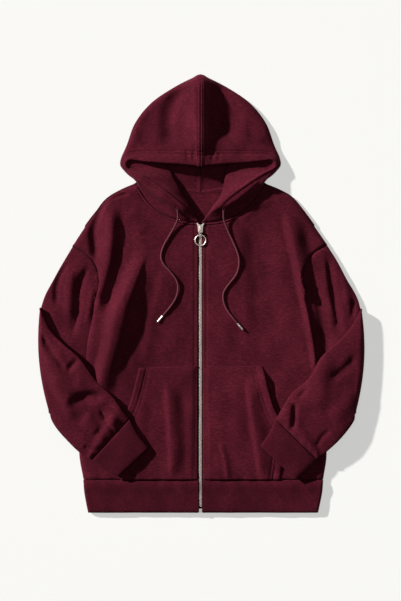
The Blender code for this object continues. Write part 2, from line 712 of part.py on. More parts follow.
def make_drawstring(side, cloths):
    """A free end of the drawstring, lying on the cloth from its eyelet, and its metal aglet."""
    route = CORD_ROUTES[side]
    rough = smooth_path(route, np.linspace(0, 1, 200))
    length = np.linalg.norm(np.diff(rough, axis=0), axis=1).sum()
    xy = smooth_path(route, np.linspace(0, 1, round(length / CORD_SPACING) + 1))
    way = (xy[-1] - xy[-2]) / np.linalg.norm(xy[-1] - xy[-2])
    tip_ends = xy[-1] + np.outer((SEAM_GAP, SEAM_GAP + AGLET_LENGTH), way)
    level = drop_on(cloths, tip_ends, AGLET_RADIUS).max() + AGLET_RADIUS + CORD_CLEARANCE
    z = drop_on(cloths, xy, CORD_RADIUS) + CORD_RADIUS + CORD_CLEARANCE
    z[-1] = max(z[-1], level)
    for _ in range(30):
        z[1:-1] = np.maximum(z[1:-1], (z[:-2] + z[2:]) / 2)
    curve = bpy.data.curves.new(f"drawstring_{side}", "CURVE")
    curve.dimensions = "3D"
    curve.bevel_depth = CORD_RADIUS * MM
    curve.bevel_resolution = 2
    curve.use_fill_caps = True
    spline = curve.splines.new("POLY")
    spline.points.add(len(xy) - 1)
    for point, (x, y), height in zip(spline.points, xy, z):
        point.co = (x * MM, y * MM, height * MM, 1)
    add_node(f"drawstring_{side}", curve, RIB_BURGUNDY, 0.85)
    mesh = bmesh.new()
    bmesh.ops.create_cone(
        mesh,
        cap_ends=True,
        segments=16,
        radius1=AGLET_RADIUS * MM,
        radius2=AGLET_RADIUS * MM,
        depth=AGLET_LENGTH * MM,
    )
    data = bpy.data.meshes.new(f"aglet_{side}")
    mesh.to_mesh(data)
    mesh.free()
    middle = (*tip_ends.mean(axis=0), z[-1])
    aglet = add_node(f"aglet_{side}", data, STEEL, 0.25, 1.0, middle)
    aglet.rotation_euler = Vector((way[0], way[1], 0)).to_track_quat("Z", "Y").to_euler()


def main():
    clear_scene()
    for name in ("hoodie", "cutters"):
        bpy.context.scene.collection.children.link(bpy.data.collections.new(name))
    make_back()
    make_hem()
    make_zip()
    for side in ("left", "right"):
        front = make_front(side)
        hood = make_hood(side)
        make_pocket(side, front)
        make_sleeve(side)
        make_cuff(side)
        make_drawstring(side, [front, hood])
    make_slider()
    make_link()
    make_ring()


main()
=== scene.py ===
"""A zip-up hoodie of burgundy fleece, laid flat on its back with its sleeves folded over the front.

Sizes and tables are in millimetres, made metres where a mesh is written. +X is to the right as the
garment is seen from above, +Y runs from the hem to the hood, and +Z is up from the table.
"""

import math

import bpy
import numpy as np
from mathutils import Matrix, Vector
from mathutils.bvhtree import BVHTree


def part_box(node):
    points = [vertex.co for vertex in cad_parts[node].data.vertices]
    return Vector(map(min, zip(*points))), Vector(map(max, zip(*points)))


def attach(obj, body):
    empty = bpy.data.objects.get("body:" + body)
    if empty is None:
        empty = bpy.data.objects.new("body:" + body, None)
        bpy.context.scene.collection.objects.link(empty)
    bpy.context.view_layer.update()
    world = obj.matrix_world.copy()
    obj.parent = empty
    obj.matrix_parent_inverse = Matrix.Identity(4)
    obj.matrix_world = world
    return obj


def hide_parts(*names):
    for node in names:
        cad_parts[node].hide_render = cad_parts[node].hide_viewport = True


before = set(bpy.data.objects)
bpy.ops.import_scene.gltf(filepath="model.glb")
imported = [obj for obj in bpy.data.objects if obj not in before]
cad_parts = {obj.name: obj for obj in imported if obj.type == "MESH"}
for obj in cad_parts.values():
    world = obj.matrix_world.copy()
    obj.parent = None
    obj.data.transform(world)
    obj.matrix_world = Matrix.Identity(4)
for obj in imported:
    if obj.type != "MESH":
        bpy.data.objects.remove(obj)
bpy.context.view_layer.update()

# --- The table, the lamp and the camera -----------------------------------------------------------
# A smooth white table top, seen from straight above. One low lamp at the upper left draws every
# fold of the cloth, and a wide soft panel overhead fills the shadows and shows in the metal.
MM = 0.001
VIEW_HEIGHT, VIEW_MIDDLE_Y = 1244.0, -14.5
CAMERA_UP, CLOTH_LEVEL, FILM_HEIGHT = 3000.0, 12.5, 36.0
LAMP_WAY = (0.85, -0.52)  # the way that the light travels over the table
LAMP_RISE = math.radians(24.5)
LAMP_WIDTH = math.radians(2.6)
TABLE_WHITE, TABLE_GLOW = "#AFAFAE", "#BDBDBB"


def linear(colour):
    """An sRGB hex colour as the linear colour that a shader takes."""
    parts = [int(colour[i : i + 2], 16) / 255 for i in (1, 3, 5)]
    return (*(v / 12.92 if v <= 0.04045 else ((v + 0.055) / 1.055) ** 2.4 for v in parts), 1.0)


def add(tree, kind, feeds=None, **settings):
    """Adds a node with its settings. Each feed is a number, or another node's output to link."""
    made = tree.nodes.new("ShaderNode" + kind)
    for name, value in settings.items():
        setattr(made, name, value)
    for socket, value in (feeds or {}).items():
        if isinstance(value, bpy.types.NodeSocket):
            tree.links.new(value, made.inputs[socket])
        else:
            made.inputs[socket].default_value = value
    return made


def new_material(name):
    """A material, its tree and its shader."""
    material = bpy.data.materials.new(name)
    material.use_nodes = True
    return material, material.node_tree, material.node_tree.nodes["Principled BSDF"]


scene = bpy.context.scene
scene.view_settings.view_transform = "Standard"

table_paint, tree, shader = new_material("matt_white_laminate")
shader.inputs["Base Color"].default_value = linear(TABLE_WHITE)
shader.inputs["Roughness"].default_value = 0.8
shader.inputs["Emission Color"].default_value = linear(TABLE_GLOW)
shader.inputs["Emission Strength"].default_value = 1.0
table_data = bpy.data.meshes.new("table")
table_data.from_pydata([(-6, -6, 0), (6, -6, 0), (6, 6, 0), (-6, 6, 0)], [], [(0, 1, 2, 3)])
table_data.materials.append(table_paint)
table = bpy.data.objects.new("table", table_data)
scene.collection.objects.link(table)
table.location.z = -0.2 * MM

world = bpy.data.worlds.new("studio")
world.use_nodes = True
world.node_tree.nodes["Background"].inputs["Color"].default_value = (0.96, 0.98, 1.0, 1.0)
world.node_tree.nodes["Background"].inputs["Strength"].default_value = 0.05
scene.world = world

lamp = bpy.data.objects.new("low_lamp", bpy.data.lights.new("low_lamp", "SUN"))
lamp.data.energy = 6.3
lamp.data.angle = LAMP_WIDTH
lamp.data.color = (1.0, 0.985, 0.965)
level = Vector((*LAMP_WAY, 0)).normalized() * math.cos(LAMP_RISE)
lamp.rotation_euler = (
    level - Vector((0, 0, math.sin(LAMP_RISE)))
).to_track_quat("-Z", "Y").to_euler()
scene.collection.objects.link(lamp)

panel = bpy.data.objects.new("soft_panel", bpy.data.lights.new("soft_panel", "AREA"))
panel.data.size = 2.5
panel.data.energy = 15.0
panel.location = (0, 0, 3.3)
scene.collection.objects.link(panel)

camera = bpy.data.objects.new("camera", bpy.data.cameras.new("camera"))
camera.data.sensor_fit = "VERTICAL"
camera.data.sensor_height = FILM_HEIGHT
camera.data.lens = FILM_HEIGHT * (CAMERA_UP - CLOTH_LEVEL) / VIEW_HEIGHT
camera.location = (0, VIEW_MIDDLE_Y * MM, CAMERA_UP * MM)
scene.collection.objects.link(camera)
scene.camera = camera

# --- The back -------------------------------------------------------------------------------------
# One panel of loopback cotton fleece, 2.2 mm thick, cut with the hem seam at its foot and a shallow
# neckline. It lies flat on the table, and only its neck shows, inside the hood.
FLEECE = 2.2
SEAM_GAP = 0.35
HEM_SEAM_Y = -386.0
SIDE_Y = (-386.0, -324.0, -220.0, -112.0, -46.6, -13.0)
SIDE_X = {
    "left": (-243.0, -252.0, -246.0, -238.1, -226.3, -220.0),
    "right": (254.6, 261.9, 251.0, 239.5, 228.5, 220.5),
}
SHOULDER = {
    "left": (
        (-131.4, 228.2), (-164.6, 214.0), (-194.2, 195.9), (-218.0, 167.0), (-242.3, 134.0),
        (-266.0, 97.7)
    ),
    "right": (
        (131.4, 227.3), (163.0, 214.5), (190.0, 198.5), (214.0, 170.0), (238.5, 136.5),
        (262.9, 101.2)
    ),
}
ARMHOLE_BOW = 30.0
NAPE_DROP = 17.8  # how far the middle of the neckline lies below its ends
NECK_LAP = 0.9  # how far the neck edge stands up where it is lapped over the hood
BURGUNDY_DARK, BURGUNDY, BURGUNDY_LIGHT = "#330A14", "#49121F", "#64202F"


def smooth_path(points, fractions):
    """Points at these fractions of the length of a smooth curve through the given points."""
    points = np.array(points, float)
    knots = np.vstack([2 * points[0] - points[1], points, 2 * points[-1] - points[-2]])
    fine = between(knots, 16)
    run = np.concatenate([[0.0], np.cumsum(np.linalg.norm(np.diff(fine, axis=0), axis=1))])
    at = run[-1] * np.asarray(fractions)
    return np.column_stack([np.interp(at, run, axis) for axis in fine.T])


def between(knots, steps):
    """Rows on smooth curves through the knots, which have one more at each end than is drawn."""
    t = np.linspace(0, 1, steps, endpoint=False).reshape(-1, *[1] * (np.ndim(knots) - 1))
    spans = []
    for p0, p1, p2, p3 in zip(knots, knots[1:], knots[2:], knots[3:]):
        cubic = (3 * p1 - p0 - 3 * p2 + p3) * t**3 + (2 * p0 - 5 * p1 + 4 * p2 - p3) * t**2
        spans.append(p1 + 0.5 * ((p2 - p0) * t + cubic))
    return np.concatenate(spans + [knots[-2][None]])


def eased(rows, steps):
    """Rows added between the rows of a table, on smooth curves through all of them."""
    rows = np.array(rows, float)
    return between(
        np.concatenate([[2 * rows[0] - rows[1]], rows, [2 * rows[-1] - rows[-2]]]), steps
    )


def bowed_line(a, b, bow, fractions):
    """Points from a to b on a line that bows to its left by bow in the middle."""
    a, b = np.array(a, float), np.array(b, float)
    along = (b - a) / max(np.linalg.norm(b - a), 1e-6)
    w = np.asarray(fractions)[:, None]
    return a + (b - a) * w + 4 * bow * w * (1 - w) * np.array([-along[1], along[0]])


def towards_end(spans, power=1.5):
    """Fractions from 0 to 1 that come closer together towards 1."""
    return 1 - (1 - np.linspace(0, 1, spans + 1)) ** power


def side_line(side):
    return list(zip(SIDE_X[side], SIDE_Y))


def armhole_seam(side, fractions):
    """The armhole seam, from the armpit to the shoulder tip."""
    bow = -ARMHOLE_BOW if side == "left" else ARMHOLE_BOW
    return bowed_line(side_line(side)[-1], SHOULDER[side][-1], bow, fractions)


def cloth(name, rows, wall, material, closed=False, outside_in=False):
    """Cloth through rows of points. Its wall lies under the skin that the rows make."""
    rows = np.asarray(rows, float)
    count = rows.shape[1]
    index = np.arange(len(rows) * count).reshape(len(rows), count)
    if closed:
        index = np.hstack([index, index[:, :1]])
    corners = [index[:-1, :-1], index[:-1, 1:], index[1:, 1:], index[1:, :-1]]
    faces = np.stack(corners[::-1] if outside_in else corners, axis=-1).reshape(-1, 4)
    data = bpy.data.meshes.new(name)
    data.from_pydata((rows.reshape(-1, 3) * MM).tolist(), [], faces.tolist())
    data.shade_smooth()
    data.materials.append(material)
    obj = bpy.data.objects.new(name, data)
    scene.collection.objects.link(obj)
    shell = obj.modifiers.new("cloth", "SOLIDIFY")
    shell.thickness = wall * MM
    shell.offset = -1.0
    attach(obj, "garment")
    return obj


def knit(name, dark, middle, light, grain):
    """Dyed cotton knit with a raised nap: matt, marled, paler where the nap catches light."""
    material, tree, shader = new_material(name)
    place = add(tree, "TexCoord").outputs["Object"]
    along_rows = add(tree, "VectorMath", {0: place, 1: (0.4, 1.2, 1.0)}, operation="MULTIPLY")
    marl = add(
        tree, "TexNoise",
        {"Vector": along_rows.outputs[0], "Scale": grain, "Detail": 4.0, "Roughness": 0.75}
    )
    worn = add(tree, "TexNoise", {"Vector": place, "Scale": 14.0, "Detail": 2.0})
    little = add(tree, "Math", {0: worn.outputs["Fac"], 1: 0.25}, operation="MULTIPLY")
    both = add(
        tree, "Math", {0: marl.outputs["Fac"], 1: 0.75, 2: little.outputs[0]},
        operation="MULTIPLY_ADD"
    )
    tones = add(tree, "ValToRGB", {"Fac": both.outputs[0]})
    ends = tones.color_ramp.elements
    ends[0].position, ends[0].color = 0.3, linear(dark)
    ends[1].position, ends[1].color = 0.7, linear(light)
    ends.new(0.5).color = linear(middle)
    tree.links.new(tones.outputs["Color"], shader.inputs["Base Color"])
    nap = add(tree, "TexNoise", {"Vector": place, "Scale": 620.0, "Detail": 4.0, "Roughness": 0.7})
    raised = add(
        tree, "Bump", {"Height": nap.outputs["Fac"], "Strength": 0.5, "Distance": 1.2 * MM}
    )
    tree.links.new(raised.outputs["Normal"], shader.inputs["Normal"])
    shader.inputs["Roughness"].default_value = 0.95
    shader.inputs["Specular IOR Level"].default_value = 0.06
    shader.inputs["Sheen Weight"].default_value = 0.07
    shader.inputs["Sheen Roughness"].default_value = 0.55
    shader.inputs["Sheen Tint"].default_value = linear("#B8707E")
    return material


fleece = knit("brushed_cotton_fleece", BURGUNDY_DARK, BURGUNDY, BURGUNDY_LIGHT, 340.0)

edge = {}
for side in ("left", "right"):
    edge[side] = np.vstack(
        [
            smooth_path(side_line(side), np.linspace(0, 1, 90)),
            armhole_seam(side, np.linspace(0, 1, 40))[1:],
            smooth_path(SHOULDER[side][::-1], np.linspace(0, 1, 40))[1:],
        ]
    )
across = np.linspace(0, 1, 81)
rows = []
for i, (left, right) in enumerate(zip(edge["left"], edge["right"])):
    row = left + (right - left) * across[:, None]
    share = max(0.0, (i - 128) / (len(edge["left"]) - 129))
    row[:, 1] -= NAPE_DROP * share * (1 - np.abs(2 * across - 1))
    lap = max(0.0, share - 0.9) / 0.1
    row[:, 1] += 4 * lap
    rows.append(
        np.column_stack(
            [row, np.full(len(row), FLEECE + NECK_LAP * (lap + math.sin(math.pi * lap)))]
        )
    )
rows[0][:, 1] += SEAM_GAP
back = cloth("back_panel", rows, FLEECE, fleece)
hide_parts("back")

# --- The fronts -----------------------------------------------------------------------------------
# Two panels of the same fleece. Each is sewn to the zip along its inner edge, and to the back at
# the shoulder and side, where the cloth rolls over. Soft folds run down from each shoulder.
FRONT_TOP, EDGE_TOP, EDGE_ROLL = 12.5, 4.9, 14.0
NECK_Y, NECK_BOW, PLACKET_X = 147.4, 25.0, 4.5
PLACKET_STITCH_X = 12.5
# Each fold: its path, its height, and its reach to the left and to the right of that path.
FOLDS = {
    "left": (
        (
            ((-186, 196), (-185, 168), (-184, 131), (-190, 69), (-206, 10), (-222, -46)), 13.0, 24,
            32
        ),
        (
            (
                (-104, 104), (-118, 74), (-137, 36), (-149, 5), (-168, -32), (-180, -66),
                (-185, -117), (-204, -179), (-222, -236)
            ),
            12.0, 110, 28
        ),
        (
            ((-142, 30), (-158, -10), (-172, -50), (-184, -100), (-200, -160), (-222, -250)), 8.0,
            36, 24
        ),
        (((-112, 90), (-132, 30), (-152, -30), (-166, -90), (-190, -170)), 6.5, 10, 120),
        (((-78, 80), (-98, 30), (-112, -30), (-124, -90), (-136, -150)), -3.4, 22, 40),
        (((-170, 12), (-166, -10), (-162, -36)), -1.6, 6, 6),
        (((-194, 200), (-210, 168), (-220, 131), (-217, 92), (-211, 56)), -7.0, 12, 17),
        (((-184, 197), (-168, 202), (-148, 207)), -3.2, 8, 6),
        (((-150, 175), (-130, 150), (-116, 120)), 2.4, 22, 22),
        (((-60, 120), (-66, 40), (-60, -60), (-56, -130)), 1.6, 40, 34),
    ),
    "right": (
        (
            ((180, 196), (186, 141), (199, 80), (212, 22), (227, -46), (240, -122), (252, -200)),
            13.5, 34, 18
        ),
        (((152, 150), (166, 60), (176, -20), (182, -110)), 2.6, 34, 34),
        (((104, 165), (116, 60), (124, -20), (124, -130)), -5.5, 96, 36),
        (((140, -200), (175, -230), (190, -300)), 1.6, 30, 30),
        (((60, 100), (62, 20), (54, -60), (50, -130)), 1.4, 34, 40),
        (((80, 150), (110, 176), (150, 196)), 2.2, 16, 16),
    ),
}


def neck_seam(side, fractions):
    """The front neck seam, from the zip to the top of the shoulder."""
    x = -PLACKET_X if side == "left" else PLACKET_X
    bow = NECK_BOW if side == "left" else -NECK_BOW
    return bowed_line((x, NECK_Y), SHOULDER[side][0], bow, fractions)


def from_path(path, xy):
    """How far each point is left (+) or right (-) of a path, and how far along it that is."""
    path = np.array(path, float)
    best, along = np.full(len(xy), np.inf), np.zeros(len(xy))
    for i, (p, q) in enumerate(zip(path, path[1:])):
        way, off = q - p, xy - p
        t = np.clip((off @ way) / (way @ way), 0, 1)
        apart = np.linalg.norm(off - t[:, None] * way, axis=1)
        turn = np.where(way[0] * off[:, 1] - way[1] * off[:, 0] < 0, -1.0, 1.0)
        nearer = apart < np.abs(best)
        best[nearer] = (apart * turn)[nearer]
        along[nearer] = (i + t[nearer]) / (len(path) - 1)
    return best, along


def folded(folds, xy):
    """How far these folds raise or lower the cloth at each point."""
    xy = np.asarray(xy, float)
    rise = np.zeros(len(xy))
    for path, height, left_reach, right_reach in folds:
        away, along = from_path(smooth_path(path, np.linspace(0, 1, 24)), xy)
        reach = np.where(away > 0, left_reach, right_reach)
        across = 0.5 + 0.5 * np.cos(np.pi * np.clip(np.abs(away) / reach, 0, 1))
        fade = np.clip(np.minimum(along, 1 - along) / 0.22, 0, 1)
        rise += height * across * fade * fade * (3 - 2 * fade)
    return rise


def dip(away, depth, reach):
    """The valley that a row of stitches pulls into the cloth, this far away from it."""
    return -depth * np.exp(-((np.asarray(away) / reach) ** 2))


def slack(xy, size=1.0):
    """The slight unevenness of cloth that lies loose, in waves of 25 to 90 mm."""
    x, y = np.asarray(xy, float).T
    waves = (
        (0.071, 0.023, 0.4), (-0.031, 0.083, 1.9), (0.118, -0.052, 3.1), (0.052, 0.139, 5.0),
        (0.171, 0.092, 0.9)
    )
    return size * sum(
        np.sin(a * x + b * y + c) * 0.32 / (1 + 6 * (abs(a) + abs(b))) for a, b, c in waves
    ) * 1.6


def rounded(share):
    """The height of a rounded edge, from 0 at the edge to 1 where the rounding ends."""
    return np.sqrt(1 - (1 - np.clip(share, 0, 1)) ** 2)


def puckers(away, along, height, reach, pitch):
    """Small gathers square to a seam, uneven in size and fading away from it."""
    wave = np.sin(along * 2 * np.pi / pitch) + 0.6 * np.sin(along * 2 * np.pi / (pitch * 1.7) + 1.3)
    return height * wave * np.exp(-np.abs(away) / reach)


def front_height(side, xy):
    """Height of the top of a front over each point: rounded at its edges, with its folds."""
    xy = np.asarray(xy, float)
    shoulder = smooth_path(SHOULDER[side], np.linspace(0, 1, 24))
    body_side = smooth_path(side_line(side), np.linspace(0, 1, 24))
    inward = np.minimum(*(np.abs(from_path(line, xy)[0]) for line in (shoulder, body_side)))
    top = FRONT_TOP + folded(FOLDS[side], xy) + slack(xy)
    top = EDGE_TOP + (top - EDGE_TOP) * rounded(inward / EDGE_ROLL)
    fractions = np.linspace(0, 1, 40)
    to_neck = np.abs(from_path(neck_seam(side, fractions), xy)[0])
    top += dip(to_neck, 3.2, 2.0) - dip(to_neck - 3.0, 0.8, 1.6) + dip(to_neck - 6.0, 1.3, 1.5)
    top += dip(from_path(armhole_seam(side, fractions), xy)[0], 3.0, 2.2)
    x, y = np.abs(xy[:, 0]), xy[:, 1]
    top += dip(y - HEM_SEAM_Y, 2.4, 3.0) + puckers(y - HEM_SEAM_Y, x, 0.7, 13.0, 31.0)
    placket = np.clip((PLACKET_STITCH_X - x) / 2.0, 0, 1)
    return top + 0.4 * placket + dip(x - PLACKET_STITCH_X, 1.8, 1.6) + dip(x - PLACKET_X, 1.4, 1.2)


def tucked(xy):
    """How far a front is pressed down under its pocket beside the zip."""
    x, y = np.abs(xy[:, 0]), xy[:, 1]
    return 2.4 * np.clip((15 - x) / 7, 0, 1) * np.clip((-151 - y) / 5, 0, 1)


def patch(low, high, near, far, u, v):
    """A grid between four edges: low and high along u, near and far along v."""
    u, v = u[None, :, None], v[:, None, None]
    ruled = (1 - v) * low[None] + v * high[None]
    return (
        ruled
        + (1 - u) ** 5 * (near[:, None] - ruled[:, :1])
        + u**5 * (far[:, None] - ruled[:, -1:])
    )


fronts = {}
for side, sign in (("left", -1), ("right", 1)):
    along_neck = np.concatenate(
        [[0, 0.008, 0.02, 0.04, 0.055, 0.062, 0.07, 0.085], np.linspace(0.11, 1, 48)]
    )
    lift = np.outer(along_neck, (3 * sign * SEAM_GAP, 0)) - (0, SEAM_GAP)
    shoulder = smooth_path(SHOULDER[side], np.linspace(0, 1, 46)) - (0, SEAM_GAP)
    high = np.vstack([(neck_seam(side, along_neck) + lift)[:-1], shoulder])
    u = (high[:, 0] - high[0, 0]) / (high[-1, 0] - high[0, 0])
    up_side = np.concatenate([[0, 0.004, 0.008, 0.014], np.linspace(0.022, 1, 100)])
    far = np.vstack(
        [smooth_path(side_line(side), up_side), armhole_seam(side, towards_end(56, 1.7))[1:]]
    )
    far -= (0.2 * sign, 0)
    far[-1] = high[-1]
    far[0, 1] += SEAM_GAP
    v = (far[:, 1] - far[0, 1]) / (far[-1, 1] - far[0, 1])
    near = np.array([[high[0, 0], far[0, 1]]]) * (1 - v[:, None]) + high[0] * v[:, None]
    low = near[0] + u[:, None] * (far[0] - near[0])
    grid = patch(low, high, near, far, u, v)
    xy = grid.reshape(-1, 2)
    top = (front_height(side, xy) - tucked(xy)).reshape(grid.shape[:2])
    fronts[side] = cloth(
        f"front_panel_{side}", np.dstack([grid, top]), FLEECE, fleece,
        outside_in=side == "left"
    )
    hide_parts(f"front_{side}")

# --- The pockets ----------------------------------------------------------------------------------
# A split kangaroo pocket: a patch of fleece on each front, sewn down at the zip, top and hem. The
# slanted hand opening is turned in and held by two rows of stitches, and the right one stands open.
POCKET_CLOTH, POCKET_GAP, POCKET_TOP_Y = 1.8, 0.6, -150.5
POCKET_OPENING = {
    "left": (
        (-165.0, -385.6), (-170.0, -340.0), (-171.5, -286.0), (-146.0, -226.0), (-127.0, -153.6)
    ),
    "right": ((164.0, -385.6), (170.0, -345.0), (173.5, -286.0), (149.0, -228.0), (129.0, -151.5)),
}
POCKET_FOLDS = {
    "left": (
        (((-72, -168), (-66, -220), (-61, -290), (-58, -360), (-57, -392)), 6.0, 34, 12),
        (((-40, -180), (-34, -280), (-36, -392)), -1.4, 12, 22),
        (((-118, -200), (-122, -260), (-126, -330)), 1.8, 20, 24),
    ),
    "right": (
        (((98, -172), (103, -210), (110, -270), (120, -330), (130, -394)), 6.5, 34, 11),
        (((38, -300), (47, -335), (53, -365), (55, -396)), 3.0, 14, 5),
        (((74, -170), (78, -260), (84, -360)), 1.4, 22, 22),
    ),
}
STITCH, STITCH_PITCH, THREAD = 2.6, 3.5, 0.42
OPENING_STITCHES = (15.0, 21.0)  # how far the two rows lie in from the hand opening


def drop_on(cloths, xy, reach=0.0):
    """Height of the highest of these cloths over each point, or within reach of it."""
    graph = bpy.context.evaluated_depsgraph_get()
    trees = [BVHTree.FromObject(one, graph) for one in cloths]
    around = [(0, 0)]
    if reach:
        around += [(reach * math.cos(a), reach * math.sin(a)) for a in np.arange(6) * math.pi / 3]
    tops = []
    for x, y in xy:
        rays = [
            (Vector(((x + dx) * MM, (y + dy) * MM, 1.0)), tree) for dx, dy in around
            for tree in trees
        ]
        hits = [tree.ray_cast(start, Vector((0, 0, -1)))[0] for start, tree in rays]
        tops.append(max((hit.z / MM for hit in hits if hit is not None), default=np.nan))
    tops = np.array(tops)
    there = ~np.isnan(tops)
    return np.interp(np.arange(len(tops)), np.flatnonzero(there), tops[there])


def make_piece(name, points, faces, material, smooth=False):
    """A piece of the garment, from its points in millimetres and its faces."""
    data = bpy.data.meshes.new(name)
    data.from_pydata((np.array(points) * MM).tolist(), [], faces)
    if smooth:
        data.shade_smooth()
    data.materials.append(material)
    obj = bpy.data.objects.new(name, data)
    scene.collection.objects.link(obj)
    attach(obj, "garment")
    return obj


def sew(name, cloths, seams, material):
    """Rows of stitches that lie in the cloth along these seams, joined into one piece."""
    points, faces = [], []
    for seam in seams:
        seam = np.array(seam, float)
        length = np.linalg.norm(np.diff(seam, axis=0), axis=1).sum()
        count = max(2, round(length / STITCH_PITCH))
        xy = smooth_path(seam, np.linspace(0, 1, 2 * count + 1))
        z = drop_on(cloths, xy)
        for i in range(0, 2 * count, 2):
            start = np.array([*xy[i], z[i]])
            end = np.array([*xy[i + 1], z[i + 1]])
            middle, way = (start + end) / 2, (end - start) / np.linalg.norm(end - start)
            aside = np.array([-way[1], way[0], 0]) * THREAD
            first = len(points)
            tips = middle - way * STITCH / 2, middle + way * STITCH / 2
            waist = [
                middle + aside, middle + (0, 0, THREAD), middle - aside, middle - (0, 0, THREAD)
            ]
            points += [tips[0], *waist, tips[1]]
            for a, b in ((1, 2), (2, 3), (3, 4), (4, 1)):
                faces += [(first, first + b, first + a), (first + 5, first + a, first + b)]
    return make_piece(name, points, faces, material)


# Spun polyester thread, a shade lighter than the cloth: a fine glint along every row of stitches.
thread, tree, shader = new_material("spun_polyester_thread")
twist = add(tree, "TexNoise", {"Vector": add(tree, "TexCoord").outputs["Object"], "Scale": 900.0})
tone = add(tree, "ValToRGB", {"Fac": twist.outputs["Fac"]})
tone.color_ramp.elements[0].color = linear("#4A1522")
tone.color_ramp.elements[1].color = linear("#6B2A39")
tree.links.new(tone.outputs["Color"], shader.inputs["Base Color"])
shader.inputs["Roughness"].default_value = 0.8
shader.inputs["Specular IOR Level"].default_value = 0.1

pockets = {}
for side, sign in (("left", -1), ("right", 1)):
    u = np.concatenate(
        [
            [0, 0.02, 0.05], np.linspace(0.08, 0.86, 38),
            [0.875, 0.89, 0.9, 0.91, 0.92, 0.935, 0.96, 0.985, 1]
        ]
    )
    v = np.concatenate([[0, 0.01, 0.02], np.linspace(0.035, 0.965, 60), [0.98, 0.99, 1]])
    far = smooth_path(POCKET_OPENING[side], v)
    near = np.column_stack(
        [
            np.full(len(v), sign * (PLACKET_X + POCKET_GAP)),
            far[0, 1] + v * (POCKET_TOP_Y - far[0, 1])
        ]
    )
    low = near[0] + u[:, None] * (far[0] - near[0])
    high = near[-1] + u[:, None] * (far[-1] - near[-1])
    grid = patch(low, high, near, far, u, v)
    xy = grid.reshape(-1, 2)
    to_opening = np.abs(from_path(far, xy)[0])
    to_sewn = np.minimum(POCKET_TOP_Y - xy[:, 1], xy[:, 1] - HEM_SEAM_Y)
    top = front_height(side, xy) + POCKET_GAP + POCKET_CLOTH - tucked(xy)
    fill = np.clip(np.minimum(to_sewn, np.abs(xy[:, 0]) - 12) / 26, 0, 1) ** 0.8
    top += folded(POCKET_FOLDS[side], xy) + 1.4 * fill - dip(xy[:, 1] - HEM_SEAM_Y, 1.5, 3.0)
    gape = (
        np.exp(-((to_opening / 16) ** 2))
        * np.clip((xy[:, 1] + 330) / 60, 0, 1)
        * np.clip((-156 - xy[:, 1]) / 18, 0, 1)
    )
    top += (7.0 if side == "right" else 1.0) * gape
    top += dip(to_opening - OPENING_STITCHES[0], 1.4, 1.5) + dip(
        to_opening - OPENING_STITCHES[1], 1.4, 1.5
    ) + dip(POCKET_TOP_Y - 3 - xy[:, 1], 1.3, 1.5)
    top -= 1.2 * np.clip(1 - to_opening / 2.0, 0, 1) ** 2
    rows = np.dstack([grid, top.reshape(grid.shape[:2])])
    pockets[side] = cloth(
        f"pocket_patch_{side}", rows, POCKET_CLOTH, fleece, outside_in=side == "left"
    )
    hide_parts(f"pocket_{side}")
    inside = smooth_path(POCKET_OPENING[side], np.linspace(0.3, 0.985, 20))
    seams = [inside - (sign * 15.5, 0), inside - (sign * 21.5, 0)]
    seams.append(
        [(sign * 10, POCKET_TOP_Y - 3), (POCKET_OPENING[side][-1][0] - sign * 4, POCKET_TOP_Y - 4)]
    )
    sew(f"pocket_stitches_{side}", [pockets[side]], seams, thread)

# --- The sleeves ----------------------------------------------------------------------------------
# A tube of fleece from the drop-shoulder armhole to the cuff. It lies flat beside the body, turns
# over at the elbow, and the forearm comes back across the front with its own creases.
TUBE_HEIGHT = 12.4
# Rings of the upper arm and of the forearm: over-arm edge x and y, underarm edge x and y, the
# height of the bottom, and how far the middle bows towards the body.
UPPER_ARM = {
    "left": (
        (-265.0, 97.6, -217.0, -14.6, 0.0, 30.0),
        (-288.0, 59.0, -221.0, -62.0, 0.0, 18.0),
        (-308.0, 23.0, -232.0, -126.0, 0.0, 6.0),
        (-319.5, 2.0, -243.0, -172.0, 0.0, 2.0),
        (-326.0, -14.0, -268.0, -218.0, 0.0, 0.0),
        (-330.5, -29.0, -311.0, -248.0, 0.0, 0.0),
    ),
    "right": (
        (262.0, 101.1, 218.0, -14.8, 0.0, 30.0),
        (284.0, 66.0, 223.0, -62.0, 0.0, 18.0),
        (304.0, 28.0, 233.0, -126.0, 0.0, 6.0),
        (318.0, 5.0, 244.0, -172.0, 0.0, 2.0),
        (327.0, -14.0, 274.0, -218.0, 0.0, 0.0),
        (331.5, -31.0, 319.0, -249.0, 0.0, 0.0),
    ),
}
FOREARM = {
    "left": (
        (-330.5, -30.0, -311.0, -248.0, 14.6, 0.0),
        (-310.0, -76.0, -307.0, -262.0, 15.2, 0.0),
        (-280.5, -106.0, -295.0, -280.5, 18.0, 0.0),
        (-247.0, -136.0, -276.0, -301.5, 20.6, 0.0),
        (-214.0, -181.0, -254.0, -323.5, 20.6, 0.0),
        (-180.0, -214.0, -238.0, -335.0, 19.0, 0.0),
        (-146.5, -259.0, -224.0, -343.5, 17.4, 0.0),
    ),
    "right": (
        (331.5, -32.0, 319.0, -249.0, 14.6, 0.0),
        (313.0, -66.0, 317.0, -262.0, 15.2, 0.0),
        (285.0, -98.0, 305.0, -280.0, 18.0, 0.0),
        (248.0, -132.0, 286.0, -302.0, 20.6, 0.0),
        (222.0, -176.0, 264.0, -322.5, 20.6, 0.0),
        (187.0, -207.0, 251.0, -333.0, 19.0, 0.0),
        (154.8, -260.0, 238.6, -341.0, 17.4, 0.0),
    ),
}
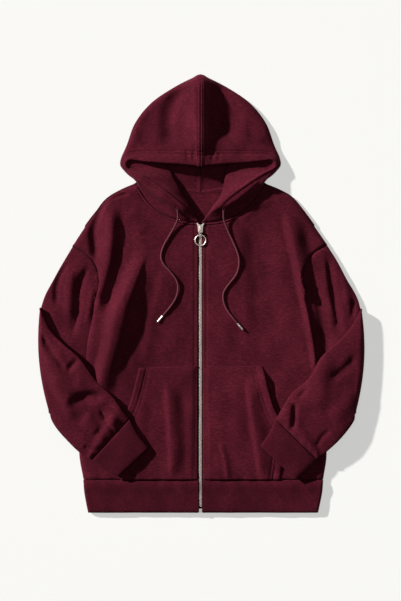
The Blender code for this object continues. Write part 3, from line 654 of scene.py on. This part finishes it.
ARM_FOLDS = {
    "left": (
        (((-276, 66), (-292, 34), (-298, 8), (-296, -30)), -6.0, 9, 12),
        (((-226, 62), (-240, 40), (-251, 12), (-252, -20), (-258, -55), (-268, -92)), -6.5, 10, 12),
        (((-206, 48), (-220, 40), (-236, 30)), -3.0, 6, 6),
        (((-264, 56), (-272, 10), (-272, -50)), 5.0, 16, 16),
        (((-222, 20), (-228, -20), (-236, -70)), 3.0, 12, 10),
    ),
    "right": (
        (((262, 88), (267, 50), (272, 10), (281, -47), (287, -95)), -7.0, 16, 9),
        (((318, -10), (317, -30), (315, -52)), -4.0, 9, 10),
        (((296, 50), (302, 10), (306, -30)), 4.0, 14, 14),
        (((226, 50), (236, 10), (248, -30), (258, -90), (262, -170)), -7.0, 26, 18),
    ),
}
FOREARM_FOLDS = {
    "left": (
        (((-330, -80), (-314, -108), (-298, -131), (-274, -160)), -5.5, 9, 12),
        (((-276, -160), (-264, -148), (-250, -134)), -5.5, 10, 9),
        (((-318, -110), (-306, -160), (-288, -200), (-270, -230), (-256, -262)), 8.0, 40, 22),
        (((-270, -240), (-264, -226), (-244, -214), (-218, -210), (-196, -218)), -8.5, 14, 22),
        (((-240, -252), (-226, -268), (-210, -286)), 5.0, 20, 22),
        (((-208, -238), (-198, -256), (-186, -274), (-172, -294)), -6.5, 4, 6),
        (((-242, -314), (-228, -320), (-210, -326)), -3.4, 6, 5),
        (((-170, -250), (-184, -270), (-170, -290)), 3.0, 14, 14),
        (((-262, -176), (-232, -206), (-200, -236)), 3.0, 16, 16),
    ),
    "right": (
        (((194, -222), (194, -238), (193, -258), (190, -284)), -7.0, 8, 10),
        (((322, -128), (306, -146), (286, -164), (264, -176)), -4.0, 14, 12),
        (((320, -190), (300, -230), (262, -262)), 3.4, 26, 26),
        (((262, -128), (246, -180), (238, -250)), 6.0, 30, 64),
        (((268, -280), (250, -296), (238, -318)), -3.2, 8, 8),
        (((216, -196), (208, -208), (200, -216)), -3.4, 7, 7),
        (((172, -238), (176, -252), (172, -268)), 3.0, 12, 12),
    ),
}
TURN_STEPS, RING_POINTS = 12, 104


def ring_section(count):
    """Round a flattened ring: shares of the way across it, and heights from -1 to 1."""
    angle = np.arange(count) * 2 * math.pi / count
    c, s = np.cos(angle), np.sin(angle)
    return 0.5 - 0.5 * np.sign(c) * np.abs(c) ** 0.75, np.sign(s) * np.abs(s) ** 0.6


def flat_ring(row, height, turn=0.0, outward=(0.0, 0.0), middle=None, swing=0.0):
    """A flat ring of cloth from edge a to edge b, turned over by turn, its middle swung outward."""
    ax, ay, bx, by, base, bow = row
    w, rise = ring_section(RING_POINTS)
    rise = 0.5 * height * rise
    xy = bowed_line((ax, ay), (bx, by), bow if ax < 0 else -bow, w)
    fullness = 0.1 + 0.9 * np.sin(math.pi * np.clip(w, 0, 1)) ** 0.8
    xy = xy + np.outer((swing - rise * math.sin(turn)) * fullness, outward)
    z = (base + height / 2 if middle is None else middle) + rise * math.cos(turn)
    return np.column_stack([xy, z])


def crease_top(ring, folds, seam_away, blouse):
    """Presses folds into the upper side of a flat ring, and gathers it at its seam."""
    z = ring[:, 2]
    low, high = z.min(), z.max()
    share = np.clip((z - (low + high) / 2) / ((high - low) / 2), 0, 1)
    rise = folded(folds, ring[:, :2]) + slack(ring[:, :2], 1.2)
    across = np.linalg.norm(ring[:, :2] - ring[0, :2], axis=1)
    rise += blouse * math.exp(-(((seam_away - 15) / 9) ** 2)) + dip(seam_away, 3.0, 3.5)
    rise += puckers(seam_away, across, 0.8 if blouse else 0.2, 16.0, 23.0)
    return np.column_stack([ring[:, :2], z + rise * share])


for side in ("left", "right"):
    upper, fore = eased(UPPER_ARM[side], 9), eased(FOREARM[side], 12)
    rings = [
        crease_top(flat_ring(row, TUBE_HEIGHT), ARM_FOLDS[side], 1.2 + 3.4 * i, 0)
        for i, row in enumerate(upper)
    ]
    start, end = upper[-1], fore[0]
    crease = start[2:4] - start[:2]
    crease /= np.linalg.norm(crease)
    outward = np.array([crease[1], -crease[0]]) * (1 if side == "left" else -1)
    radius = (end[4] - start[4]) / 2
    level = start[4] + TUBE_HEIGHT / 2 + radius
    for step in range(1, TURN_STEPS):
        turn = math.pi * step / TURN_STEPS
        middle = level - radius * math.cos(turn)
        rings.append(flat_ring(start, TUBE_HEIGHT, turn, outward, middle, radius * math.sin(turn)))
    for i, row in enumerate(fore):
        away = 2.5 * (len(fore) - 1 - i)
        rings.append(
            crease_top(flat_ring(row, TUBE_HEIGHT, math.pi), FOREARM_FOLDS[side], away, 4.0)
        )
    cloth(
        f"sleeve_tube_{side}", rings, FLEECE, fleece, closed=True,
        outside_in=side == "left"
    )
    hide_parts(f"sleeve_{side}")

# --- The cuffs and the hem band -------------------------------------------------------------------
# Two-by-two rib of cotton with elastane, doubled over at its free edge: its ribs stand up as fine
# rows along the arm and the body, and it pulls the fleece into small gathers where it is sewn on.
RIB, CUFF_HEIGHT = 2.8, 13.6
RIB_PITCH, RIB_RISE, RIB_STEPS = 3.4, 0.3, 4  # drawn a little coarser than the real 2.6 mm
CUFFS = {
    "left": (
        (-146.2, -259.5, -223.7, -344.0, 16.8),
        (-129.0, -290.0, -199.0, -362.0, 16.4),
        (-107.6, -318.8, -169.7, -377.8, 16.0),
    ),
    "right": (
        (154.5, -260.5, 238.3, -341.5, 16.8),
        (141.0, -289.0, 218.0, -362.0, 16.4),
        (123.6, -314.6, 196.2, -383.0, 16.0),
    ),
}
STRETCHED_RISE = 0.13  # the hem's ribs are stretched flatter than the cuffs'
HEM_ROWS = (
    (HEM_SEAM_Y - SEAM_GAP, -243.0, 254.6),
    (-412.0, -241.0, 252.5),
    (-440.0, -236.0, 247.0),
    (-454.3, -232.9, 243.8),
)
rib_knit = knit("cotton_rib", "#2E0812", "#400E1A", "#561826", 420.0)


def evenly(section, count, closed):
    """A section's outline, with its points at equal distances round it."""
    ring = np.vstack([section, section[:1]]) if closed else np.asarray(section)
    run = np.concatenate([[0.0], np.cumsum(np.linalg.norm(np.diff(ring, axis=0), axis=1))])
    at = np.linspace(0, run[-1], count + 1)[: count if closed else count + 1]
    return np.column_stack([np.interp(at, run, axis) for axis in ring.T])


def ribbed(section, outward, rise):
    """The section with every rib standing out from it by this rise."""
    phase = np.arange(len(section)) * 2 * np.pi / RIB_STEPS
    return section + outward * (rise * np.cos(phase))[:, None]


for side in ("left", "right"):
    table_rows = np.array(CUFFS[side])
    rows = eased(table_rows, 11)
    first = flat_ring((*rows[0], 0.0), CUFF_HEIGHT, math.pi)
    around = np.linalg.norm(np.diff(first, axis=0), axis=1).sum()
    ribs = round(around / RIB_PITCH)
    rings = []
    for i, row in enumerate(rows):
        ring = evenly(flat_ring((*row, 0.0), CUFF_HEIGHT, math.pi), ribs * RIB_STEPS, True)
        middle = ring.mean(axis=0)
        along = (row[2:4] - row[:2]) / np.linalg.norm(row[2:4] - row[:2])
        beside = (ring[:, :2] - middle[:2]) @ along
        half = np.abs(beside).max()
        up = (ring[:, 2] - middle[2]) / (CUFF_HEIGHT / 2)
        ends = np.clip((np.abs(beside) / half - 0.9) / 0.1, 0, 1)
        outward = np.column_stack([np.outer(ends * np.sign(beside), along), up * (1 - ends)])
        share = i / (len(rows) - 1)
        at_seam, at_end = (share / 0.07) ** 2, ((share - 1) / 0.05) ** 2
        pull = -2.2 * math.exp(-at_seam) - 2.4 * math.exp(-at_end)
        ring[:, 2] += up * (pull / 2 + 0.8 * np.sin(np.pi * share)) + slack(ring[:, :2], 1.0)
        rings.append(ribbed(ring, outward, RIB_RISE))
    cloth(
        f"cuff_rib_{side}", rings, RIB, rib_knit, closed=True, outside_in=side == "left"
    )
    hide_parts(f"cuff_{side}")

rows = []
for y, left, right in eased(HEM_ROWS, 8):
    radius = FRONT_TOP / 2
    turn = np.linspace(0, math.pi, 14)
    bulge, round_z = radius * np.sin(turn), radius * np.cos(turn)
    over = np.linspace(-PLACKET_X, left + radius, 60)[:-1]
    under = np.linspace(left + radius, right - radius, 60)[1:-1]
    back_over = np.linspace(right - radius, PLACKET_X, 60)[1:]
    x = np.concatenate([over, left + radius - bulge, under, right - radius + bulge, back_over])
    z = np.concatenate(
        [
            np.full(59, FRONT_TOP), radius + round_z, np.zeros(58), radius - round_z,
            np.full(59, FRONT_TOP)
        ]
    )
    section = evenly(np.column_stack([x, np.full(len(x), y), z]), 290 * RIB_STEPS, False)
    slope = np.gradient(section, axis=0)
    outward = np.column_stack([slope[:, 2], np.zeros(len(slope)), -slope[:, 0]])
    outward /= np.linalg.norm(outward, axis=1)[:, None]
    outward *= np.clip(section[:, 2] / 2.0, 0, 1)[:, None]
    from_seam, from_end = HEM_SEAM_Y - y, y - HEM_ROWS[-1][0]
    rise = 1.6 * math.exp(
        -(((from_seam - 14) / 10) ** 2)
    ) - 2.6 * math.exp(-((from_seam / 3.4) ** 2))
    rise -= 2.6 * math.exp(-((from_end / 3.0) ** 2))
    wave = puckers(from_seam, np.abs(section[:, 0]), 0.5, 12.0, 31.0) + slack(section[:, :2])
    section = ribbed(section, outward, STRETCHED_RISE)
    section[:, 2] += (rise + wave) * np.clip((section[:, 2] - 8) / 4, 0, 1)
    rows.append(section)
hem = cloth("hem_band", rows, RIB, rib_knit)
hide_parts("hem_rib")

# --- The hood -------------------------------------------------------------------------------------
# Two halves of fleece joined by a seam over the crown. The hood lies on its back with its crown
# folded forward: its front edge is turned in as a casing for the cord, stitched in two rows, and
# below the mouth the two flaps roll open and show the inside of the cloth.
# Each row: front edge x, y, height; fold at the outline x, y; height of the middle; seam y; bow.
HOOD_ROWS = (
    (-4.5, 147.6, 12.5, -131.6, 228.8, 12.5, 210.3, 25.0),
    (-28.0, 176.0, 27.0, -139.0, 237.5, 13.0, 222.0, 5.0),
    (-72.0, 212.0, 36.0, -149.0, 245.0, 14.0, 236.0, 2.0),
    (-118.0, 243.0, 32.0, -158.0, 254.0, 15.0, 252.0, 0.0),
    (-150.0, 259.5, 20.0, -166.5, 266.5, 15.0, 270.0, 0.0),
    (-146.0, 275.5, 22.0, -164.0, 283.0, 16.0, 292.0, 0.0),
    (-116.0, 272.0, 25.0, -153.0, 308.0, 14.0, 318.0, 0.0),
    (-80.0, 268.5, 28.0, -135.5, 354.0, 13.0, 348.0, 0.0),
    (-46.0, 266.0, 32.0, -101.5, 396.0, 14.0, 378.0, 0.0),
    (-20.0, 263.5, 33.0, -51.0, 430.0, 19.0, 408.0, 0.0),
    (0.0, 261.0, 34.0, 0.0, 454.6, 28.0, 432.0, 0.0),
)
# Where the cloth inside each row ends: x, y and height.
HOOD_INSIDE = {
    "left": (
        (-3.5, 149.0, 9.0), (-16.0, 180.0, 11.0), (-37.0, 208.0, 13.0), (-53.0, 236.0, 13.0),
        (-70.0, 264.0, 11.0),
        (-120.0, 284.0, 10.0), (-112.0, 290.0, 15.0), (-80.0, 292.0, 18.0), (-46.0, 289.0, 19.0),
        (-20.0, 286.0, 21.0), (0.0, 284.0, 22.0),
    ),
    "right": (
        (-3.5, 149.0, 9.0), (-25.0, 181.0, 9.0), (-42.5, 206.0, 7.0), (-51.0, 240.0, 13.0),
        (-62.0, 272.0, 19.0),
        (-122.0, 284.0, 15.0), (-112.0, 290.0, 15.0), (-80.0, 292.0, 18.0), (-46.0, 289.0, 19.0),
        (-20.0, 286.0, 21.0), (0.0, 284.0, 22.0),
    ),
}
HOOD_FOLDS = {
    "left": (
        (((0, 462), (0, 420), (0, 370), (0, 325), (0, 275)), 10.0, 46, 46),
        (((-30, 432), (-56, 395), (-66, 350), (-58, 300)), -8.0, 20, 26),
        (((-136, 236), (-122, 222), (-104, 206), (-82, 186), (-60, 176)), -6.5, 9, 8),
        (((-120, 380), (-134, 340), (-138, 300)), 2.4, 20, 22),
        (((-28, 298), (-27, 284), (-26, 270)), -2.2, 5, 5),
        (((-14, 300), (-14, 286), (-15, 270)), -2.0, 4, 5),
    ),
    "right": (
        (((0, 462), (0, 420), (0, 370), (0, 325), (0, 275)), 10.0, 24, 24),
        (((18, 440), (46, 405), (60, 360), (46, 305)), -9.0, 40, 30),
        (((100, 400), (122, 350), (128, 305)), 2.6, 26, 24),
        (((126, 228), (110, 214), (90, 196)), -4.5, 8, 8),
        (((26, 296), (25, 284), (23, 270)), -2.4, 5, 5),
        (((39, 292), (38, 282), (36, 272)), -1.8, 4, 4),
    ),
}
HOOD_EDGE, HOOD_ROLL, HEM_SIDE = 5.6, 13.0, 34.0
# The flat top of a flap's roll, and how far it then takes to fall.
FLAP_ROLL, FLAP_FALL = 15.0, 21.0
NAPE_SWELL = 13.0  # how far the back of the hood stands up inside the mouth
CASING_STEPS = (0, 0.8, 2.2, 4.5, 8, 12, 16, 20, 22.6, 24, 25.4, 27.4, 28.6, 30, 31.4, 34)
CASING_STITCHES = (24.0, 30.0)
CROWN_SEAM_ROWS = ((-7.0, 0.0), (-5.2, -1.0), (-3.6, 0.5), (-1.8, 0.9), (-0.7, 0.0), (0.0, -1.6))
INSIDE_POINTS, OVER_POINTS = 16, 46


def hood_line(side, row, inside, part):
    """A line of cloth from inside the front edge, over the outline, to the back seam."""
    fx, fy, f_top, cx, cy, mid_top, ky, bow = row
    front, fold, seam = np.array((fx, fy)), np.array((cx, cy)), np.array((0.0, ky))
    length = np.linalg.norm(fold - front)
    casing = np.array(CASING_STEPS) * min(1.0, 0.8 * length / HEM_SIDE)
    rest = casing[-1] + (length - casing[-1]) * towards_end(OVER_POINTS, 1.6)[1:]
    away = np.concatenate([casing, rest])
    over = bowed_line(front, fold, bow, away / length)
    flip = np.array((1.0 if side == "left" else -1.0, 1.0))
    inward = np.linalg.norm(over - fold, axis=1)
    share = away / length
    flap = min(1.0, max(0.0, 5.2 - part))
    off, place = from_path([row[:2] for row in HOOD_ROWS[:5]], over)
    rolled = 0.5 + 0.5 * np.cos(math.pi * np.clip((np.abs(off) - FLAP_ROLL) / FLAP_FALL, 0, 1))
    crest = np.interp(4 * place, range(5), [row[2] for row in HOOD_ROWS[:5]])
    brim_top = mid_top + (f_top - mid_top) * (1 - share) ** 1.6
    top = flap * (mid_top + (crest - mid_top) * rolled) + (1 - flap) * brim_top
    held = min(1.0, part * 1.2)
    stitched = sum(dip(away / casing[-1] * HEM_SIDE - at, 1.1, 1.3) for at in CASING_STITCHES)
    puff = 1.3 * np.sin(
        np.pi * np.clip(away / casing[-1] * HEM_SIDE / 23, 0, 1)
    ) - 2.2 * np.clip(1 - away / 2.4, 0, 1) ** 2
    top = top + held * (stitched + puff) + slack(over * flip, 1.3) * held
    top = top + folded(HOOD_FOLDS[side], over * flip) * held
    height = HOOD_EDGE + (top - HOOD_EDGE) * rounded(inward / HOOD_ROLL)
    seam_height = front_height(side, over * flip)
    seam_height[-1] = HOOD_EDGE
    height = height * held + seam_height * (1 - held)
    way = (seam - fold) / np.linalg.norm(seam - fold)
    turn = np.linspace(0, math.pi / 2, 8)[1:]
    under = fold + np.outer(HOOD_EDGE * (1 - np.cos(turn)), way)
    lower = under[-1] + towards_end(15, 1.7)[1:, None] * (seam - under[-1])
    start = np.array(inside)
    edge_point = np.array([fx, fy, height[0]])
    w = np.linspace(0, 1, INSIDE_POINTS)[:-1]
    inner = start + (edge_point - start) * w[:, None]
    inner[:, 2] = start[2] + (
        edge_point[2] - 2.4 * held - start[2]
    ) * np.sin(w * math.pi / 2) ** 0.9
    drop = np.array(
        [start - (0, 0, d) for d in (4.0, 2.6, 1.2)]
    ) if part < 4.5 else np.array([start] * 3)
    drop[:, 2] = np.maximum(drop[:, 2], FLEECE + 1.2)
    line = np.vstack([over, under, lower])
    seam_rise = 1.5 * np.exp(-((np.linalg.norm(lower - seam, axis=1) / 2.4) ** 2))
    swell = NAPE_SWELL * np.exp(-(((lower[:, 1] - 262) / 26) ** 2) - (lower[:, 0] / 75) ** 2)
    z = np.concatenate([height, HOOD_EDGE * (1 - np.sin(turn)), seam_rise + swell])
    return np.vstack([drop, inner, np.column_stack([line, z])])


hoods = {}
for side in ("left", "right"):
    fine = eased(HOOD_ROWS, 9)
    fine_inside = eased(HOOD_INSIDE[side], 9)
    rows = [
        hood_line(side, row, inside, i / 9)
        for i, (row, inside) in enumerate(zip(fine, fine_inside))
    ]
    last = rows.pop()
    rows = [row for row in rows if row[INSIDE_POINTS + 30, 0] < -8.5]
    for shift, rise in CROWN_SEAM_ROWS:
        strip = last + (shift, 0.25 * shift, 0)
        strip[INSIDE_POINTS + 3 : INSIDE_POINTS + 50, 2] += rise
        rows.append(strip)
    rows = np.array(rows)
    if side == "right":
        rows[:, :, 0] *= -1
    hoods[side] = cloth(
        f"hood_half_{side}", rows, FLEECE, fleece, outside_in=side == "left"
    )
    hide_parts(f"hood_{side}")

# Rows of stitches in the hood's casing, along the neck, beside the zip and round each armhole.
NECK_STITCHES, CASING_SPAN, ARMHOLE_STITCH = (4.0, 8.0), (5.2, 9.7), 4.0
for side, sign in (("left", -1), ("right", 1)):
    fractions = np.linspace(0.06, 0.98, 24)
    neck, hole = neck_seam(side, fractions), armhole_seam(side, np.linspace(0.4, 0.98, 20))
    seams = [neck - (0, away) for away in NECK_STITCHES]
    seams.append(
        [
            (sign * PLACKET_STITCH_X, 138.0), (sign * PLACKET_STITCH_X, -150.0),
            (sign * PLACKET_STITCH_X, -383.0)
        ]
    )
    seams.append(hole - (sign * ARMHOLE_STITCH, 0))
    sew(f"front_stitches_{side}", [fronts[side], pockets[side]], seams, thread)
    span = [
        row for i, row in enumerate(eased(HOOD_ROWS, 9))
        if CASING_SPAN[0] <= i / 9 <= CASING_SPAN[1]
    ]
    seams = []
    for away in CASING_STITCHES:
        line = []
        for fx, fy, _, cx, cy, *_ in span:
            length = math.hypot(cx - fx, cy - fy)
            step = away * min(1.0, 0.8 * length / HEM_SIDE) / length
            line.append((-sign * (fx + (cx - fx) * step), fy + (cy - fy) * step))
        seams.append(line)
    sew(f"casing_stitches_{side}", [hoods[side]], seams, thread)

# --- The zip --------------------------------------------------------------------------------------
# A metal zip on woven polyester tape, sewn under the two fronts. Its nickel-plated teeth are
# stamped from wire and clamped on the tape's edge, and they close into one pale chain.
CHAIN_TOP, CHAIN_LOW = 11.3, 8.8
CHAIN_START_Y, CHAIN_END_Y = 139.6, -444.0
TOOTH_PITCH = 3.0  # a guess: the teeth are too fine to count
# One tooth seen from above, x outward from the middle of the chain. Then its levels: the height,
# and how much of the outline is left there, because its top is rounded.
TOOTH_OUTLINE = (
    (3.1, 1.2), (1.6, 1.2), (0.5, 0.7), (-0.7, 0.6), (-0.7, -0.6), (0.5, -0.7), (1.6, -1.2),
    (3.1, -1.2)
)
TOOTH_LEVELS = (
    (CHAIN_LOW, 1.0), (CHAIN_TOP - 0.6, 1.0), (CHAIN_TOP - 0.25, 0.86), (CHAIN_TOP, 0.6)
)

# Nickel plate over stamped metal, tumbled to a satin: bright, with soft broad reflections.
nickel, tree, shader = new_material("satin_nickel_plate")
shader.inputs["Metallic"].default_value = 1.0
place = add(tree, "TexCoord").outputs["Object"]
scuff = add(tree, "TexNoise", {"Vector": place, "Scale": 520.0, "Detail": 3.0})
tone = add(tree, "ValToRGB", {"Fac": scuff.outputs["Fac"]})
tone.color_ramp.elements[0].color = linear("#E6D3C8")
tone.color_ramp.elements[1].color = linear("#FBEFE8")
tree.links.new(tone.outputs["Color"], shader.inputs["Base Color"])
worn = add(tree, "MapRange", {"Value": scuff.outputs["Fac"], "To Min": 0.34, "To Max": 0.52})
tree.links.new(worn.outputs["Result"], shader.inputs["Roughness"])

# Woven polyester tape, dyed with the cloth: a fine flat herringbone, a little shinier than fleece.
tape, tree, shader = new_material("woven_polyester_tape")
place = add(tree, "TexCoord").outputs["Object"]
weave = add(
    tree, "TexWave", {"Vector": place, "Scale": 190.0, "Distortion": 1.5},
    bands_direction="DIAGONAL"
)
tone = add(tree, "ValToRGB", {"Fac": weave.outputs["Fac"]})
tone.color_ramp.elements[0].color = linear("#2E0C14")
tone.color_ramp.elements[1].color = linear("#47141F")
tree.links.new(tone.outputs["Color"], shader.inputs["Base Color"])
ribs = add(tree, "Bump", {"Height": weave.outputs["Fac"], "Strength": 0.4, "Distance": 0.4 * MM})
tree.links.new(ribs.outputs["Normal"], shader.inputs["Normal"])
shader.inputs["Roughness"].default_value = 0.7

points, faces = [], []
count = int((CHAIN_START_Y - CHAIN_END_Y) / TOOTH_PITCH)
for i in range(count):
    for sign, shift in ((-1, 0.0), (1, TOOTH_PITCH / 2)):
        y = CHAIN_START_Y - i * TOOTH_PITCH - shift
        first = len(points)
        for z, keep in TOOTH_LEVELS:
            points += [
                (sign * (0.6 + (x - 0.6) * keep) if x > 0.6 else sign * x, y + w * keep, z)
                for x, w in TOOTH_OUTLINE
            ]
        ring = list(range(8))
        for low, high in ((0, 8), (8, 16), (16, 24)):
            for k in ring:
                quad = (
                    first + low + k, first + low + (k + 1) % 8, first + high + (k + 1) % 8,
                    first + high + k
                )
                faces.append(quad if sign < 0 else quad[::-1])
        cap = tuple(first + 24 + k for k in ring)
        foot = tuple(first + k for k in ring[::-1])
        faces += [cap if sign < 0 else cap[::-1], foot if sign < 0 else foot[::-1]]
teeth = make_piece("zip_teeth", points, faces, nickel)
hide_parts("zip_chain")

# The slider: a plate with two shoulders at its top, a rib down its middle, and a pin between two
# ears that holds the link.
PIN_Y, PIN_Z, PIN_RADIUS, EAR_IN, EAR_OUT = 126.4, 16.5, 0.8, 1.9, 3.1
CROWN = (
    (-8.0, 146.0), (-6.0, 146.2), (-3.6, 143.6), (-1.6, 142.2), (1.6, 142.2), (3.6, 143.6),
    (6.0, 146.2), (8.0, 146.0),
    (7.6, 143.2), (6.0, 139.6), (5.5, 134.0), (5.2, 128.4), (4.2, 125.4), (-4.2, 125.4),
    (-5.2, 128.4), (-5.5, 134.0),
    (-6.0, 139.6), (-7.6, 143.2),
)
RIB_OUTLINE = (
    (-2.2, 129.4), (2.2, 129.4), (2.6, 136.0), (1.6, 141.0), (-1.6, 141.0), (-2.6, 136.0)
)
EAR_OUTLINE = (
    (124.4, 13.4), (129.2, 13.4), (129.0, 16.2), (127.8, 18.0), (126.4, 18.5), (125.0, 18.0),
    (124.4, 16.2)
)


def stacked(outlines):
    """A closed solid through outlines of equal length: its points and faces."""
    count = len(outlines[0])
    quads = [
        (low + k, low + (k + 1) % count, low + count + (k + 1) % count, low + count + k)
        for low in range(0, count * (len(outlines) - 1), count)
        for k in range(count)
    ]
    top = count * (len(outlines) - 1)
    return [p for line in outlines for p in line], quads + [
        tuple(range(count))[::-1], tuple(range(top, top + count))
    ]


def levels(outline, steps):
    """An outline at several heights, drawn in about its middle by each step's share."""
    middle = np.mean(outline, axis=0)
    return [[(*(middle + (np.array(p) - middle) * keep), z) for p in outline] for z, keep in steps]


crown = CROWN[::-1]
solids = [
    stacked(levels(crown, ((11.9, 0.97), (12.3, 1.0), (13.6, 1.0), (14.1, 0.94), (14.3, 0.84)))),
    stacked(levels(crown, ((6.9, 1.0), (8.1, 1.0)))),
    stacked(levels(RIB_OUTLINE, ((13.8, 1.0), (15.6, 0.92), (16.3, 0.7)))),
    stacked(
        [
            [
                (x, PIN_Y + PIN_RADIUS * math.sin(a), PIN_Z + PIN_RADIUS * math.cos(a))
                for a in np.arange(12) * math.pi / 6
            ]
            for x in (-EAR_IN - 0.2, EAR_IN + 0.2)
        ]
    ),
]
for x in (-EAR_OUT, EAR_IN):
    solids.append(
        stacked([[(x + step, y, z) for y, z in EAR_OUTLINE] for step in (0, EAR_OUT - EAR_IN)])
    )
points, faces = [], []
for solid_points, solid_faces in solids:
    faces += [tuple(k + len(points) for k in face) for face in solid_faces]
    points += solid_points
slider = make_piece("slider_body", points, faces, nickel)
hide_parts("zip_slider")

for name in ("zip_tape_left", "zip_tape_right"):
    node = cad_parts[name]
    node.data.materials.clear()
    node.data.materials.append(tape)
for name in ("zip_box", "pull_link", "pull_ring"):
    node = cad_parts[name]
    node.data.materials.clear()
    node.data.materials.append(nickel)

# --- The drawstring -------------------------------------------------------------------------------
# A round braided cotton cord runs through the hood's casing. Its two free ends come out of stitched
# eyelets, lie on the chest in loose curves, and end in crimped metal aglets.
CORD_RADIUS = 1.9
# The aglet, 17 mm long and 4.8 mm thick, as (place along it, radius): two grooves crimp it on.
AGLET_PROFILE = (
    (-8.5, 1.9), (-8.5, 2.2), (-7.8, 2.4), (-5.4, 2.4), (-5.0, 2.05), (-4.6, 2.4), (-3.4, 2.4),
    (-3.0, 2.05), (-2.6, 2.4), (6.8, 2.4), (7.9, 2.1), (8.5, 1.2)
)
AGLET_SIDES = 20
CORD_ROUTES = {
    "left": (
        (-47.6, 172.8), (-46.2, 155.7), (-52.8, 139.9), (-64.8, 118.8), (-76.6, 97.7),
        (-82.0, 76.6), (-76.6, 60.7),
        (-62.1, 44.9), (-48.9, 26.3), (-46.2, 10.6), (-50.1, -7.9), (-59.4, -23.8), (-70.0, -37.1),
        (-77.8, -46.2),
    ),
    "right": (
        (47.6, 171.2), (47.6, 154.6), (53.2, 137.9), (64.4, 113.0), (75.3, 88.0), (80.3, 65.8),
        (75.3, 41.0),
        (62.9, 24.2), (50.5, 7.7), (46.4, -6.2), (50.5, -25.7), (61.5, -43.7), (76.6, -62.0),
    ),
}

# Braided cotton cord, dyed with the cloth: matt, with the slanting strands of its braid.
cotton_cord, tree, shader = new_material("braided_cotton_cord")
place = add(tree, "TexCoord").outputs["Object"]
strand = add(
    tree, "TexWave", {"Vector": place, "Scale": 150.0, "Distortion": 2.0},
    bands_direction="DIAGONAL"
)
tone = add(tree, "ValToRGB", {"Fac": strand.outputs["Fac"]})
tone.color_ramp.elements[0].color = linear("#4A1520")
tone.color_ramp.elements[1].color = linear("#6E2936")
tree.links.new(tone.outputs["Color"], shader.inputs["Base Color"])
braid = add(tree, "Bump", {"Height": strand.outputs["Fac"], "Strength": 0.6, "Distance": 0.6 * MM})
tree.links.new(braid.outputs["Normal"], shader.inputs["Normal"])
shader.inputs["Roughness"].default_value = 0.85

for side in ("left", "right"):
    route = CORD_ROUTES[side]
    xy = smooth_path(route, np.linspace(0, 1, 34))
    low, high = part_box(f"aglet_{side}")
    aglet_middle = np.array((low + high) / 2) / MM
    z = drop_on([fronts[side], hoods[side]], xy, CORD_RADIUS) + CORD_RADIUS + 0.1
    z[-1] = aglet_middle[2]
    z[0] -= 1.5
    for _ in range(12):
        z[1:-1] = np.maximum(z[1:-1], (z[:-2] + z[2:]) / 2)
    curve = bpy.data.curves.new(f"cord_{side}", "CURVE")
    curve.dimensions = "3D"
    curve.bevel_depth = CORD_RADIUS * MM
    curve.bevel_resolution = 4
    curve.resolution_u = 6
    curve.use_fill_caps = True
    spline = curve.splines.new("NURBS")
    spline.points.add(len(xy) - 1)
    spline.use_endpoint_u = True
    spline.order_u = 4
    for point, (x, y), height in zip(spline.points, xy, z):
        point.co = (x * MM, y * MM, height * MM, 1)
    curve.materials.append(cotton_cord)
    cord = bpy.data.objects.new(f"cord_{side}", curve)
    scene.collection.objects.link(cord)
    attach(cord, "garment")
    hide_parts(f"drawstring_{side}")
    length = np.linalg.norm(np.diff(np.column_stack([xy, z]), axis=0), axis=1).sum()

    way = (xy[-1] - xy[-2]) / np.linalg.norm(xy[-1] - xy[-2])
    turn = np.linspace(0, 2 * math.pi, AGLET_SIDES, endpoint=False)
    rows = []
    for along, radius in AGLET_PROFILE:
        centre = aglet_middle + np.array([*(way * along), 0])
        ring = centre + np.outer(
            np.cos(turn) * radius, (-way[1], way[0], 0)
        ) + np.outer(np.sin(turn) * radius, (0, 0, 1))
        rows.append(ring)
    index = np.arange(len(rows) * AGLET_SIDES).reshape(-1, AGLET_SIDES)
    index = np.hstack([index, index[:, :1]])
    quads = np.stack(
        [index[:-1, :-1], index[:-1, 1:], index[1:, 1:], index[1:, :-1]], axis=-1
    ).reshape(-1, 4)
    ends = [tuple(index[0, :-1][::-1].tolist()), tuple(index[-1, :-1].tolist())]
    aglet = make_piece(
        f"crimped_aglet_{side}", np.vstack(rows), quads.tolist() + ends, nickel
    )
    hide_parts(f"aglet_{side}")

# The eyelets: a ring of close stitches round each hole that a cord comes out of.
EYELET_RADIUS, EYELET_THREAD = 3.4, 0.8
for side in ("left", "right"):
    x, y = CORD_ROUTES[side][0]
    around = np.arange(48) * math.pi / 24
    xy = np.column_stack([x + EYELET_RADIUS * np.cos(around), y + EYELET_RADIUS * np.sin(around)])
    z = drop_on([hoods[side], fronts[side]], xy)
    rings = []
    for turn in np.arange(8) * math.pi / 4:
        fat = EYELET_THREAD * (1 + 0.18 * np.cos(24 * around))
        ring = xy + np.column_stack(
            [np.cos(around), np.sin(around)]
        ) * (fat * math.cos(turn))[:, None]
        rings.append(np.column_stack([ring, z + fat * math.sin(turn)]))
    points = np.vstack(rings)
    faces = [
        (
            48 * a + k, 48 * ((a + 1) % 8) + k, 48 * ((a + 1) % 8) + (k + 1) % 48,
            48 * a + (k + 1) % 48
        )
        for a in range(8)
        for k in range(48)
    ]
    make_piece(f"eyelet_{side}", points, faces, thread, smooth=True)
